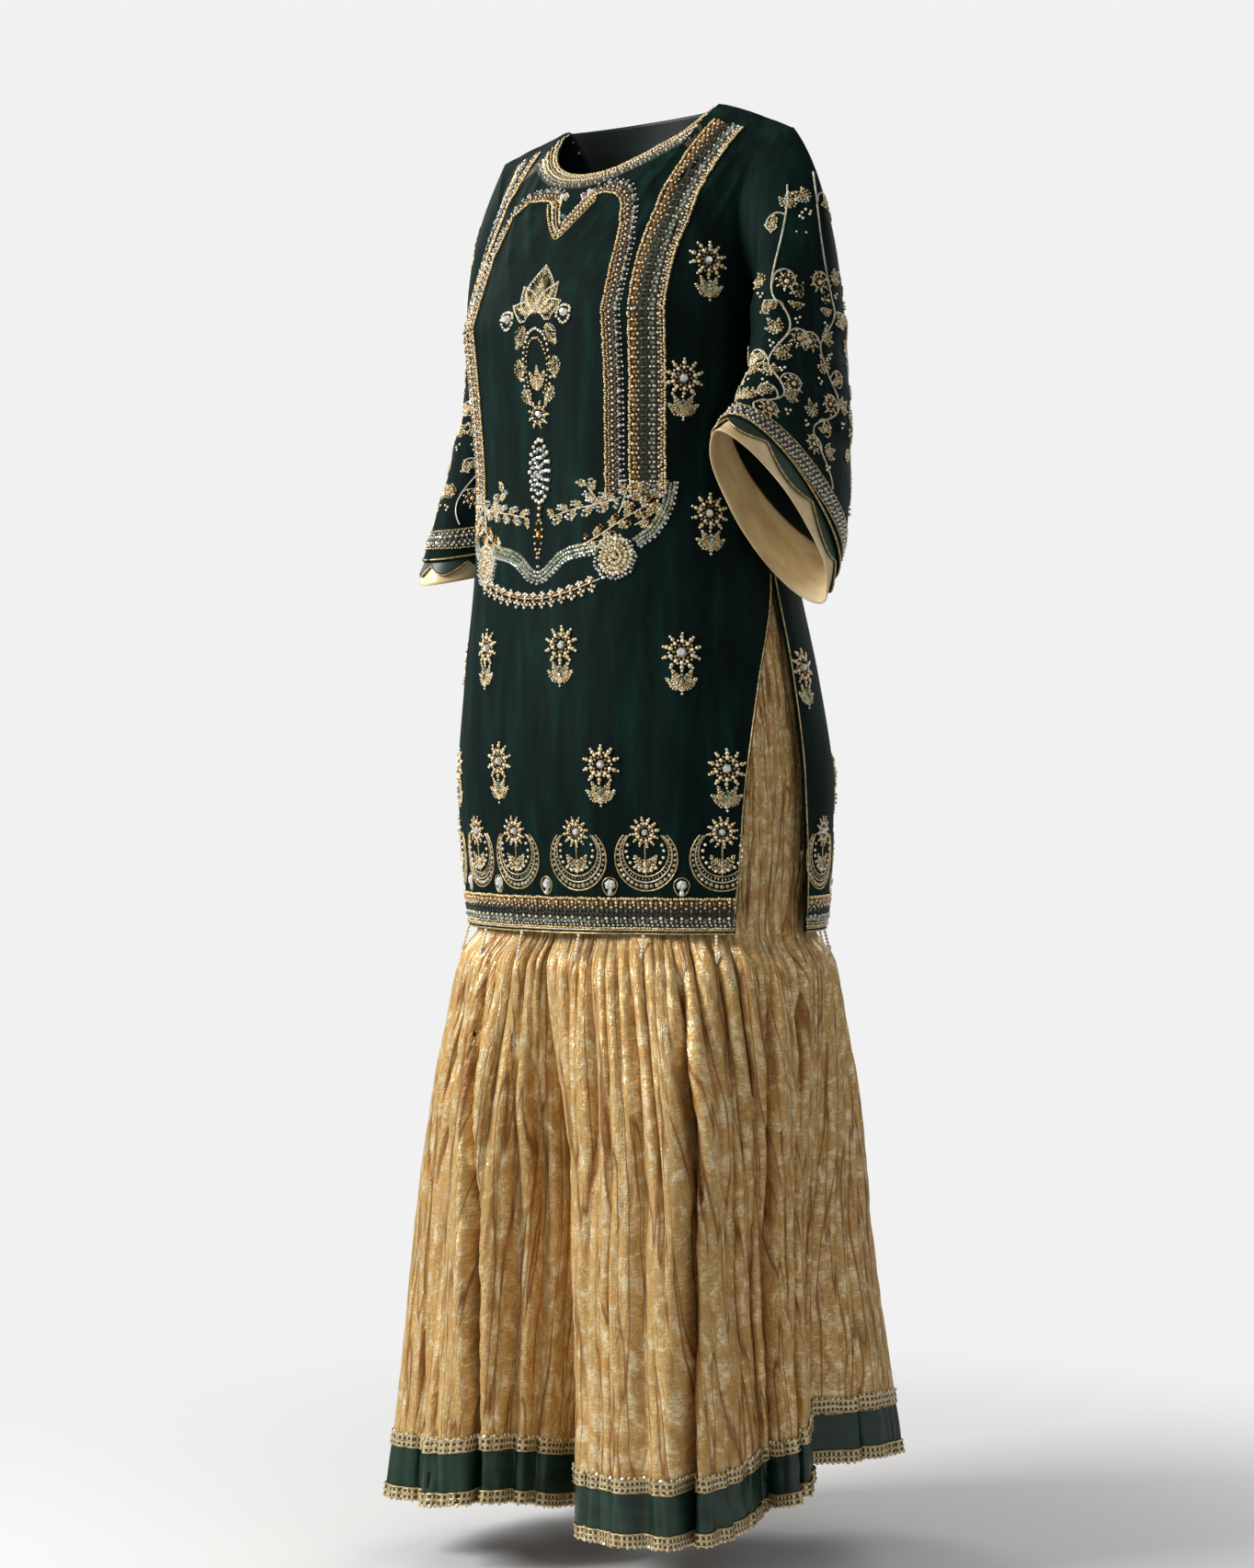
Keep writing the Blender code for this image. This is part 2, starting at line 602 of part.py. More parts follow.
def leg_point(side: int, column: float, z: float) -> np.ndarray:
    """Point on the inner face of a sharara leg.

    Args:
        side: 1 for the left leg and -1 for the right one.
        column: place round the leg; the first columns run from centre front round the outer side to
            centre back, the rest back along the inside of the leg.
        z: height.

    Returns:
        The point.
    """
    names = ("half_width", "front", "back", "centre_y", "squareness")
    half_width, front, back, centre, squareness = (read(SHARARA_SECTIONS, "z", z, name) for name in names)
    inner = SEAM_GAP * 0.5 + TISSUE
    if column <= LEG_OUTER_COLUMNS:
        share = column / LEG_OUTER_COLUMNS
        angle = math.pi * share
        depth = front if share < 0.5 else back
        reach = ring_reach(angle, half_width, depth, squareness)
        edge = inner if z < CROTCH_Z + SEAM_GAP else SEAM_GAP * 0.5
        whole = np.array([max(edge, reach * math.sin(angle)), centre - reach * math.cos(angle), z])
    else:
        share = (column - LEG_OUTER_COLUMNS) / LEG_INNER_COLUMNS
        whole = np.array([inner, centre + back * (1.0 - share) - front * share, z])
    if z >= CROTCH_Z:
        whole[0] *= side
        return whole
    table = LEFT_LEG if side > 0 else RIGHT_LEG
    direction = leg_direction(column)
    angle = math.radians(direction)
    names = ("x", "y", "half_width", "half_depth")
    x, y, ring_width, ring_depth = (read(table, "z", z, name) for name in names)
    reach = ring_reach(angle, ring_width, ring_depth, LEG_SQUARENESS)
    parted = np.array([x + reach * math.sin(angle), y - reach * math.cos(angle), z])
    weight = smooth((CROTCH_Z - z) / LEG_PARTING)
    point = whole * (1.0 - weight) + parted * weight
    pull = 0.0
    for fold in LEFT_FOLDS if side > 0 else RIGHT_FOLDS:
        if z < fold.top_z:
            growth = ((fold.top_z - z) / (fold.top_z - SHARARA_HEM_Z)) ** FOLD_POWER
            pull += fold.depth * growth * bell(turn_gap(direction, fold.angle), fold.half_width)
    toward = np.array([x, y, z]) - point
    point += toward / np.linalg.norm(toward) * pull
    point[0] = max(inner, point[0])
    point[0] *= side
    return point


def leg_line(side: int, height: float, above_hem: bool) -> list:
    """One row of a leg: at a height, or at a height above the hem line."""
    row = []
    for column in range(LEG_OUTER_COLUMNS + LEG_INNER_COLUMNS):
        z = leg_hem_z(side, leg_direction(column)) + height if above_hem else height
        row.append(leg_point(side, column, z))
    return row if side > 0 else row[::-1]


def build_sharara() -> None:
    """Builds both legs with their satin hem bands and laces."""
    total = LEG_OUTER_COLUMNS + LEG_INNER_COLUMNS
    lace_top = SATIN_BAND_HEIGHT + LACE_HEIGHT
    laces = (("gota_upper_", lace_top, SATIN_BAND_HEIGHT - LACE_OVERLAP), ("gota_lower_", LACE_HEIGHT, 0.0))
    open_top = (len(LEG_UPPER_ROWS) - 1, LEG_OUTER_COLUMNS, total)
    for side, word in ((1, "left"), (-1, "right")):
        rows = [leg_line(side, z, False) for z in LEG_UPPER_ROWS]
        rows += [leg_line(side, height, True) for height in LEG_LOWER_ROWS]
        rows.append(leg_line(side, lace_top, True))
        rows.append(leg_line(side, SATIN_BAND_HEIGHT + SEAM_GAP, True))
        points = np.array(rows)
        if side < 0:
            points = np.roll(points, 1 - LEG_INNER_COLUMNS, axis=1)
        grid_object("leg_" + word, points, "tissue", TISSUE, closed=True, skip=open_top)
        band_rows = [leg_line(side, height, True) for height in (SATIN_BAND_HEIGHT - TRIM_GAP, SATIN_FOOT)]
        grid_object("satin_" + word, np.array(band_rows), "green_satin", TISSUE, closed=True)
        for lace, top, low in laces:
            lace_rows = [leg_line(side, height, True) for height in (top, low)]
            raised = offset(np.array(lace_rows), TISSUE + 2 * TRIM_GAP, True)
            grid_object(lace + word, raised, "gota", TRIM, closed=True)


def build_waistband() -> None:
    """Builds the waistband above the two legs."""
    rows = []
    for z in (WAIST_Z, WAIST_Z - WAISTBAND_HEIGHT):
        row = []
        for index in range(WAIST_COLUMNS):
            angle = math.tau * index / WAIST_COLUMNS
            depth = read(SHARARA_SECTIONS, "z", z, "front" if math.cos(angle) > 0 else "back")
            half_width = read(SHARARA_SECTIONS, "z", z, "half_width")
            reach = ring_reach(angle, half_width, depth, LEG_SQUARENESS)
            centre = read(SHARARA_SECTIONS, "z", z, "centre_y")
            row.append([reach * math.sin(angle), centre - reach * math.cos(angle), z])
        rows.append(row)
    grid_object("waistband", np.array(rows), "waist_cotton", TISSUE, closed=True)


def build_suit() -> None:
    """Builds the whole suit."""
    clear_scene()
    front, back = build_kameez()
    build_kameez_trims(front, back)
    build_sleeves()
    build_sharara()
    build_waistband()


build_suit()
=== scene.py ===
"""Looks of a beaded velvet kameez worn over a crinkled tissue sharara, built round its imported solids."""

from __future__ import annotations

import logging
import math
from collections.abc import Callable, Sequence
from dataclasses import dataclass, field
from enum import Enum

import bmesh
import bpy
import numpy as np
from mathutils import Matrix, Vector


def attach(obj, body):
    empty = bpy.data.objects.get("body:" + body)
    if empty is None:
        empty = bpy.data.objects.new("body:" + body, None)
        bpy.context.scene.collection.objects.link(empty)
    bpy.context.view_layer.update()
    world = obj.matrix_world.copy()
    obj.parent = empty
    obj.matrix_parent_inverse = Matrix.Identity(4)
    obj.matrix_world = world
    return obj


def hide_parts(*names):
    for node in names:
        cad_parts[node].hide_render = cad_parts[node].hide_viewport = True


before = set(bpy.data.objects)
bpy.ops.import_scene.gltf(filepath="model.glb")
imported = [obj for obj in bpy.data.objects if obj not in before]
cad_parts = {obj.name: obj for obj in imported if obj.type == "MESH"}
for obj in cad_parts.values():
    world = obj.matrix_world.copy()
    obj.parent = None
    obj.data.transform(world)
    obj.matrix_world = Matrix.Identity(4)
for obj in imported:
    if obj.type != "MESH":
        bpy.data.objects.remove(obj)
log = logging.getLogger("salwar_suit")

Array = np.ndarray
Tree = bpy.types.NodeTree
Node = bpy.types.Node
Socket = bpy.types.NodeSocket
Mesh = bpy.types.Mesh
Object = bpy.types.Object
MM = 0.001
PEARL_SIZE = (0.003, 0.003, 0.0028)
LARGE_PEARL_SIZE = (0.0034, 0.0034, 0.0032)

# Sizes of the solids, in metres
VELVET = 0.002
TISSUE = 0.0016
SATIN = 0.0012
TRIM_GAP = 0.0005
SEAM_GAP = 0.0003
NECK_HALF_WIDTH = 0.1
NECK_FRONT_DROP = 0.066
NECK_FRONT_REACH = 0.073
NECK_BACK_RISE = 0.012
NECK_BACK_REACH = 0.06
SHOULDER_HALF_WIDTH = 0.192
LEFT_SHOULDER_DROP = 0.036
RIGHT_SHOULDER_DROP = 0.02
UNDERARM_Z = -0.215
KAMEEZ_HEM_Z = -0.807
NECK_SHARE = 0.455
ARMHOLE_INSET = 0.017
ARMHOLE_REACH = 0.03
ARMHOLE_EASE = 0.003
TURN_EVENNESS = 0.6
FOLD_START_Z = -0.42
WAIST_Z = -0.385
WAISTBAND_HEIGHT = 0.0277
CROTCH_Z = -0.745
SHARARA_HEM_Z = -1.376
LACE_HEIGHT = 0.012
LEG_OUTER = 38
LEG_COLUMNS = 48
LEG_SPREAD = 34.0
LEG_PARTING = 0.34
LEG_SQUARENESS = 2.2
LEG_LEAN_Z = -0.83
CREASE_WANDER = 1.4

# z, half width, front, back, centre y, squareness, front edge, back edge
KAMEEZ_SECTIONS = (
    (-0.215, 0.165, 0.137, 0.112, -0.018, 2.55, 90.0, 90.0),
    (-0.28, 0.161, 0.134, 0.107, -0.016, 2.45, 90.0, 90.0),
    (-0.36, 0.158, 0.132, 0.104, -0.014, 2.35, 90.0, 90.0),
    (-0.46, 0.17, 0.142, 0.12, -0.007, 2.25, 90.0, 90.0),
    (-0.56, 0.19, 0.153, 0.14, -0.002, 2.15, 78.5, 90.0),
    (-0.66, 0.204, 0.159, 0.156, 0.000, 2.1, 71.5, 90.0),
    (-0.74, 0.202, 0.153, 0.153, 0.001, 2.1, 70.0, 88.0),
    (-0.807, 0.195, 0.147, 0.149, 0.002, 2.1, 69.0, 86.0),
)
# Soft skirt folds: face, place across it, depth, half width
SKIRT_FOLDS = (
    (-1, -0.74, 0.0068, 0.1), (-1, -0.36, 0.004, 0.09), (-1, 0.14, 0.0035, 0.12),
    (-1, 0.56, 0.006, 0.1), (-1, 0.86, 0.0045, 0.07), (1, -0.8, 0.003, 0.09),
    (1, -0.42, 0.007, 0.11), (1, 0.05, 0.005, 0.12), (1, 0.4, 0.006, 0.1), (1, 0.82, 0.0015, 0.08),
)
# Share down the sleeve, centre x, y, z, half size out and to the front, tilt
SLEEVES = {
    1: (
        (0.3, 0.204, -0.006, -0.215, 0.032, 0.056, 4.0),
        (0.5, 0.208, -0.008, -0.275, 0.034, 0.061, 12.0),
        (0.72, 0.2125, -0.023, -0.335, 0.037, 0.077, 28.0),
        (0.88, 0.217, -0.038, -0.374, 0.0405, 0.092, 39.0),
        (1.00, 0.218, -0.052, -0.398, 0.042, 0.102, 46.0),
    ),
    -1: (
        (0.3, 0.205, 0.022, -0.21, 0.033, 0.055, 0.0),
        (0.5, 0.209, 0.022, -0.27, 0.034, 0.057, -2.0),
        (0.72, 0.217, 0.014, -0.335, 0.038, 0.063, -6.0),
        (0.88, 0.223, 0.006, -0.385, 0.042, 0.07, -10.0),
        (1.00, 0.227, 0.000, -0.42, 0.045, 0.076, -12.0),
    ),
}
# z, half width, front, back, centre y, squareness
SHARARA_SECTIONS = (
    (-0.385, 0.146, 0.118, 0.092, -0.012, 2.2),
    (-0.46, 0.16, 0.131, 0.11, -0.007, 2.2),
    (-0.56, 0.179, 0.142, 0.129, -0.002, 2.1),
    (-0.66, 0.189, 0.144, 0.141, 0.000, 2.1),
    (-0.745, 0.186, 0.138, 0.138, 0.001, 2.1),
    (-0.812, 0.181, 0.131, 0.132, 0.001, 2.1),
    (-0.838, 0.198, 0.148, 0.149, 0.000, 2.1),
    (-0.9, 0.208, 0.156, 0.154, -0.002, 2.1),
    (-1.000, 0.222, 0.172, 0.166, -0.006, 2.1),
    (-1.1, 0.232, 0.184, 0.178, -0.006, 2.1),
    (SHARARA_HEM_Z, 0.25, 0.205, 0.215, 0.000, 2.1),
)
# z, centre x, y, half width, half depth of each leg's ring
LEGS = {
    1: (
        (-0.745, 0.092, 0.000, 0.092, 0.132), (-0.831, 0.098, 0.000, 0.099, 0.147),
        (-0.9, 0.1, 0.000, 0.104, 0.152), (-1.1, 0.103, 0.004, 0.107, 0.174),
        (-1.25, 0.106, 0.022, 0.108, 0.196), (SHARARA_HEM_Z, 0.106, 0.04, 0.108, 0.216),
    ),
    -1: (
        (-0.745, 0.092, 0.000, 0.092, 0.132), (-0.831, 0.098, 0.000, 0.099, 0.147),
        (-0.9, 0.098, -0.002, 0.102, 0.15), (-1.1, 0.103, -0.01, 0.105, 0.17),
        (-1.25, 0.105, -0.026, 0.108, 0.18), (SHARARA_HEM_Z, 0.106, -0.04, 0.111, 0.19),
    ),
}
# Direction, depth at the hem, half width in degrees and top of each leg's large folds
LEG_FOLDS = {
    1: (
        (-22, 0.012, 8, -0.9), (10, 0.011, 8, -0.86), (50, 0.058, 11, -0.84),
        (78, 0.012, 7, -0.9), (104, 0.06, 12, -0.8), (166, 0.024, 9, -0.86),
        (192, 0.028, 10, -0.86), (222, 0.022, 10, -0.9), (258, 0.026, 14, -0.95),
        (302, 0.018, 13, -0.95),
    ),
    -1: (
        (-20, 0.028, 15, -0.95), (10, 0.046, 8, -0.84), (42, 0.012, 8, -0.88),
        (70, 0.014, 9, -0.9), (104, 0.034, 11, -0.84), (142, 0.022, 10, -0.86),
        (176, 0.032, 11, -0.86), (206, 0.022, 9, -0.9), (252, 0.026, 14, -0.95),
        (300, 0.02, 13, -0.95),
    ),
}
# Direction, height and half width in degrees of each rise of the hem
HEM_RISES = {
    1: ((128, 0.05, 40), (75, 0.01, 20)),
    -1: ((-24, 0.016, 18), (80, 0.016, 34), (185, 0.02, 50)),
}
# Sharp creases of each leg: direction at the top and at the hem, depth, half width in degrees, top
LEG_CREASES = {
    1: (
        (39, 23, 0.044, 1.9, -0.815), (-3, -1, 0.009, 2.2, -0.83), (17, 12, 0.009, 2, -0.82),
        (55, 38, 0.01, 2, -0.84), (74, 55, 0.018, 2.2, -0.815), (88, 70, 0.03, 1.8, -0.76),
        (66, 47, 0.008, 1.8, -0.95), (112, 114, 0.012, 2.6, -0.76), (130, 125, 0.009, 2, -0.9),
        (-16, -20, 0.009, 2.2, -0.83), (150, 145, 0.01, 2.4, -0.84), (168, 174, 0.015, 2.6, -0.82),
        (190, 197, 0.009, 2.2, -0.88), (208, 212, 0.012, 2.4, -0.83), (232, 228, 0.01, 2.4, -0.9),
    ),
    -1: (
        (3, -21, 0.034, 1.8, -0.815), (21, -6, 0.01, 2, -0.83), (-17, -33, 0.01, 2.2, -0.84),
        (40, 30, 0.011, 2.4, -0.83), (62, 58, 0.013, 2.4, -0.82), (84, 88, 0.011, 2.2, -0.76),
        (105, 109, 0.015, 2.6, -0.76), (128, 124, 0.009, 2.2, -0.88), (148, 153, 0.013, 2.6, -0.82),
        (172, 178, 0.01, 2.4, -0.84), (196, 191, 0.011, 2.4, -0.83), (214, 221, 0.009, 2.2, -0.88),
        (12, 5, 0.008, 1.8, -0.98), (-28, -42, 0.01, 2.4, -0.88),
    ),
}
SIDES = ((1, "left"), (-1, "right"))


# ---------------------------------------------------------------- form helpers

def smooth(value: Array) -> Array:
    """Eases a share from 0 to 1, clamped at both ends."""
    value = np.clip(value, 0.0, 1.0)
    return value * value * (3.0 - 2.0 * value)


def bell(distance: Array, half_width: float) -> Array:
    """A soft bump of height 1 that falls away over about twice its half width."""
    return np.exp(-0.5 * (distance / half_width) ** 2)


def turn_gap(first: Array, second: float) -> Array:
    """Smallest difference of two directions in degrees."""
    return (first - second + 180.0) % 360.0 - 180.0


def unit(vectors: Array) -> Array:
    """Vectors of length 1 in the same directions."""
    return vectors / np.maximum(np.linalg.norm(vectors, axis=-1, keepdims=True), 1e-12)


def read(rows: Sequence, value: Array, column: int) -> Array:
    """Reads one column of a table on a smooth curve that never swings past its rows.

    Args:
        rows: rows whose first column rises or falls.
        value: places on the first column.
        column: index of the column to read.

    Returns:
        The column's value at each place.
    """
    data = np.array(rows, float)
    if data[0, 0] > data[-1, 0]:
        data = data[::-1]
    keys, values = data[:, 0], data[:, column]
    value = np.clip(value, keys[0], keys[-1])
    index = np.clip(np.searchsorted(keys, value) - 1, 0, len(keys) - 2)
    before = np.maximum(0, index - 1)
    after = np.minimum(len(keys) - 1, index + 2)
    span = keys[index + 1] - keys[index]
    share = (value - keys[index]) / span
    rise = values[index + 1] - values[index]

    def held(slope: Array) -> Array:
        """Limits a slope to twice the rise, and to none where they differ in sign."""
        limited = np.sign(rise) * np.minimum(np.abs(slope), 2.0 * np.abs(rise))
        return np.where(slope * rise <= 0.0, 0.0, limited)

    slope_in = held((values[index + 1] - values[before]) / (keys[index + 1] - keys[before]) * span)
    slope_out = held((values[after] - values[index]) / (keys[after] - keys[index]) * span)
    square = share * share
    cube = square * share
    return ((2 * cube - 3 * square + 1) * values[index] + (cube - 2 * square + share) * slope_in
            + (3 * square - 2 * cube) * values[index + 1] + (cube - square) * slope_out)


def ring_reach(angle: Array, half_width: Array, depth: Array, squareness: Array) -> Array:
    """Distance from the centre of a squared ellipse to its edge in one direction."""
    across = np.abs(np.sin(angle)) / half_width
    along = np.abs(np.cos(angle)) / depth
    return (across ** squareness + along ** squareness) ** (-1.0 / squareness)


def kameez_lower(face: int, share: Array, z: Array) -> Array:
    """Points of a kameez panel from the underarm down, front for face -1 and back for face 1.

    Args:
        face: -1 for the front panel, 1 for the back one.
        share: places across, -1 to 1.
        z: heights in metres.

    Returns:
        The points.
    """
    edge = read(KAMEEZ_SECTIONS, z, 6 if face < 0 else 7)
    depth = read(KAMEEZ_SECTIONS, z, 2 if face < 0 else 3)
    angle = np.radians(edge) * share
    reach = ring_reach(angle, read(KAMEEZ_SECTIONS, z, 1), depth, read(KAMEEZ_SECTIONS, z, 5))
    growth = smooth((z - FOLD_START_Z) / (KAMEEZ_HEM_Z - FOLD_START_Z))
    for fold_face, place, fold_depth, half_width in SKIRT_FOLDS:
        if fold_face == face:
            reach = reach - fold_depth * growth * bell(share - place, half_width)
    y = read(KAMEEZ_SECTIONS, z, 4) + face * (reach * np.cos(angle) + SEAM_GAP * 0.5)
    return np.stack([reach * np.sin(angle), y, z + 0.0 * share], axis=-1)


def kameez_top(face: int, share: Array) -> Array:
    """Points of the neckline and the shoulder seams.

    Args:
        face: -1 for the front panel, 1 for the back one.
        share: places across, -1 to 1.

    Returns:
        The points.
    """
    size = np.abs(share)
    gap = SEAM_GAP * 0.5 * face
    turn = np.minimum(size / NECK_SHARE, 1.0) * math.pi / 2
    reach = NECK_FRONT_REACH if face < 0 else NECK_BACK_REACH
    height = -NECK_FRONT_DROP if face < 0 else NECK_BACK_RISE
    fall = np.where(size < NECK_SHARE, np.maximum(np.cos(turn), 0.0) ** 1.25, 0.0)
    along = np.clip((size - NECK_SHARE) / (1.0 - NECK_SHARE), 0.0, 1.0) ** 0.72
    outer = NECK_HALF_WIDTH + (SHOULDER_HALF_WIDTH - NECK_HALF_WIDTH) * along
    drop = np.where(share > 0, LEFT_SHOULDER_DROP, RIGHT_SHOULDER_DROP)
    inside = size <= NECK_SHARE
    x = np.sign(share) * np.where(inside, NECK_HALF_WIDTH * np.sin(turn), outer)
    y = np.where(inside, face * reach * fall, 0.0) + gap
    z = np.where(inside, height * fall, -drop * along ** 1.15)
    return np.stack([x, y, z], axis=-1)


def kameez_upper(face: int, share: Array, drop: Array) -> Array:
    """Points of a kameez panel between its top edge (drop 0) and the underarm level (drop 1).

    Args:
        face: -1 for the front panel, 1 for the back one.
        share: places across, -1 to 1.
        drop: share of the way down to the underarm.

    Returns:
        The points.
    """
    top = kameez_top(face, share)
    foot = kameez_lower(face, share, np.full_like(share, UNDERARM_Z))
    quarter = drop * math.pi / 2
    forward = TURN_EVENNESS * drop + (1.0 - TURN_EVENNESS) * np.sin(quarter)
    downward = TURN_EVENNESS * drop + (1.0 - TURN_EVENNESS) * (1.0 - np.cos(quarter))
    shares = np.stack([drop, forward, downward], axis=-1)
    point = top + (foot - top) * shares
    arch = np.sin(math.pi * drop)
    size = np.abs(share)
    point[..., 0] -= np.sign(share) * ARMHOLE_INSET * arch * size ** 2.5
    point[..., 1] += face * ARMHOLE_REACH * arch * size ** 5
    return point


def kameez_form(face: int, across: Array, down: Array) -> Array:
    """Inner face of a panel: across runs to the viewer's right, down is 0 at the top edge, 1 at the underarm
    and 2 at the hem.

    Args:
        face: -1 for the front panel, 1 for the back one.
        across: places across.
        down: places down.

    Returns:
        The points.
    """
    share = across if face < 0 else -across
    z = UNDERARM_Z + (KAMEEZ_HEM_Z - UNDERARM_Z) * np.clip(down - 1.0, 0.0, 1.0)
    upper = kameez_upper(face, share, np.clip(down, 0.0, 1.0))
    lower = kameez_lower(face, share, z)
    return np.where((down < 1.0)[..., None], upper, lower)


def sleeve_form(side: int, across: Array, share: Array) -> Array:
    """Inner face of a sleeve: across runs round it in degrees, share 1 is the velvet cuff edge and what is
    past it counts in metres.

    Args:
        side: 1 for the wearer's left, -1 for the right.
        across: degrees round the sleeve.
        share: places down.

    Returns:
        The points.
    """
    turn = across if side > 0 else 360.0 - across
    table = SLEEVES[side]
    held = np.clip(share, 0.0, 1.0)
    angle = np.radians(turn)
    tilt = np.radians(read(table, held, 6))
    half_front = read(table, held, 5) * np.cos(angle)
    ring = np.stack([read(table, held, 1) + read(table, held, 4) * np.sin(angle),
                     read(table, held, 2) - np.cos(tilt) * half_front,
                     read(table, held, 3) + np.sin(tilt) * half_front], axis=-1)
    drop = 0.5 - 0.5 * np.sin(angle)
    end = np.full_like(drop, float(side))
    start = np.where((np.cos(angle) >= 0)[..., None], kameez_upper(-1, end, drop), kameez_upper(1, end, drop))
    ease = ARMHOLE_EASE * np.maximum(0.0, -np.sin(angle))
    start[..., 0] = start[..., 0] * side + VELVET + 4 * SEAM_GAP + ease
    weight = smooth(held / table[0][0])
    outward = 1.0 - (1.0 - weight) ** 3
    point = start * (1.0 - weight)[..., None] + ring * weight[..., None]
    point[..., 0] = start[..., 0] * (1.0 - outward) + ring[..., 0] * outward
    point[..., 0] *= side
    if np.any(share > 1.0):
        near = sleeve_form(side, across, np.full_like(share, 0.95))
        point = point + unit(point - near) * np.maximum(share - 1.0, 0.0)[..., None]
    return point


def leg_direction(column: Array) -> Array:
    """Direction in degrees on the leg's ring of one column, outer columns first."""
    outer = -LEG_SPREAD + (180.0 + 2 * LEG_SPREAD) * column / LEG_OUTER
    share = (column - LEG_OUTER) / (LEG_COLUMNS - LEG_OUTER)
    return np.where(column <= LEG_OUTER, outer, 180.0 + LEG_SPREAD + (180.0 - 2 * LEG_SPREAD) * share)


def leg_hem_z(side: int, direction: Array) -> Array:
    """Height of a leg's hem in one direction."""
    return SHARARA_HEM_Z + sum(height * bell(turn_gap(direction, angle), half_width)
                               for angle, height, half_width in HEM_RISES[side])


def leg_at(side: int, across: Array, z: Array) -> Array:
    """Inner face of a leg at a height: across runs round it in columns to the viewer's right.

    Args:
        side: 1 for the wearer's left, -1 for the right.
        across: columns round the leg.
        z: heights in metres.

    Returns:
        The points.
    """
    column = across if side > 0 else (2 * LEG_COLUMNS + LEG_OUTER - across) % LEG_COLUMNS
    half_width, front, back, centre, squareness = (read(SHARARA_SECTIONS, z, index) for index in range(1, 6))
    inner = SEAM_GAP * 0.5 + TISSUE
    share = np.clip(column / LEG_OUTER, 0.0, 1.0)
    angle = math.pi * share
    reach = ring_reach(angle, half_width, np.where(share < 0.5, front, back), squareness)
    edge = np.where(z < CROTCH_Z + SEAM_GAP, inner, SEAM_GAP * 0.5)
    outer = np.stack([np.maximum(edge, reach * np.sin(angle)), centre - reach * np.cos(angle), z], axis=-1)
    share = np.clip((column - LEG_OUTER) / (LEG_COLUMNS - LEG_OUTER), 0.0, 1.0)
    inside = np.stack([inner + 0.0 * z, centre + back * (1.0 - share) - front * share, z], axis=-1)
    whole = np.where((column <= LEG_OUTER)[..., None], outer, inside)
    direction = leg_direction(column)
    angle = np.radians(direction)
    x, y, ring_width, ring_depth = (read(LEGS[side], z, index) for index in range(1, 5))
    reach = ring_reach(angle, ring_width, ring_depth, LEG_SQUARENESS)
    parted = np.stack([x + reach * np.sin(angle), y - reach * np.cos(angle), z], axis=-1)
    weight = smooth((CROTCH_Z - z) / LEG_PARTING)[..., None]
    point = whole * (1.0 - weight) + parted * weight
    pull = np.zeros_like(z)
    for fold_angle, depth, half, top in LEG_FOLDS[side]:
        growth = np.clip((top - z) / (top - SHARARA_HEM_Z), 0.0, None) ** 1.15
        pull += depth * growth * bell(turn_gap(direction, fold_angle), half)
    lean = np.clip((z - LEG_LEAN_Z) / (SHARARA_HEM_Z - LEG_LEAN_Z), 0.0, 1.0) ** 0.7
    turned = direction + CREASE_WANDER * Creases(83 + side, 11, 4).read(column / LEG_COLUMNS, -z / 1.4)
    for top_direction, foot_direction, depth, half, top in LEG_CREASES[side]:
        gap = turn_gap(turned - (foot_direction - top_direction) * lean, top_direction)
        deep = depth * smooth((top - z) / 0.12)
        pull += deep * (np.exp(-0.5 * np.abs(gap / half) ** 3) - 0.35 * bell(gap, 3.4 * half))
    toward = np.stack([x, y, z], axis=-1) - point
    point = point + unit(toward) * pull[..., None]
    below = z < CROTCH_Z
    point[..., 0] = np.where(below, np.maximum(inner, point[..., 0]), whole[..., 0])
    point[..., 1] = np.where(below, point[..., 1], whole[..., 1])
    point[..., 0] *= side
    return point


@dataclass(frozen=True)
class Creases:
    """Soft random ridges, longer down the cloth than across it and closed round it.

    Args:
        seed: number that the pattern starts from.
        across: ridges in the piece's whole width.
        down: changes along its whole length.
    """

    seed: int
    across: int
    down: int

    def read(self, x: Array, y: Array) -> Array:
        """Height from -1 to 1 at shares x across and y down the piece.

        Args:
            x: shares across.
            y: shares down.

        Returns:
            The heights.
        """
        lattice = np.random.default_rng(self.seed).uniform(-1.0, 1.0, (self.down + 2, self.across))
        column = (x % 1.0) * self.across
        row = np.clip(y, 0.0, 1.0) * self.down
        left, top = np.floor(column).astype(int), np.floor(row).astype(int)
        across, down = smooth(column - left), smooth(row - top)
        left, right = left % self.across, (left + 1) % self.across
        upper = lattice[top, left] * (1.0 - across) + lattice[top, right] * across
        lower = lattice[top + 1, left] * (1.0 - across) + lattice[top + 1, right] * across
        return upper * (1.0 - down) + lower * down

    def gathers(self, x: Array, y: Array) -> Array:
        """Rounded ridges between sharp valleys, from -1 to 1."""
        return 2.0 * np.sqrt(np.abs(self.read(x, y))) - 1.0


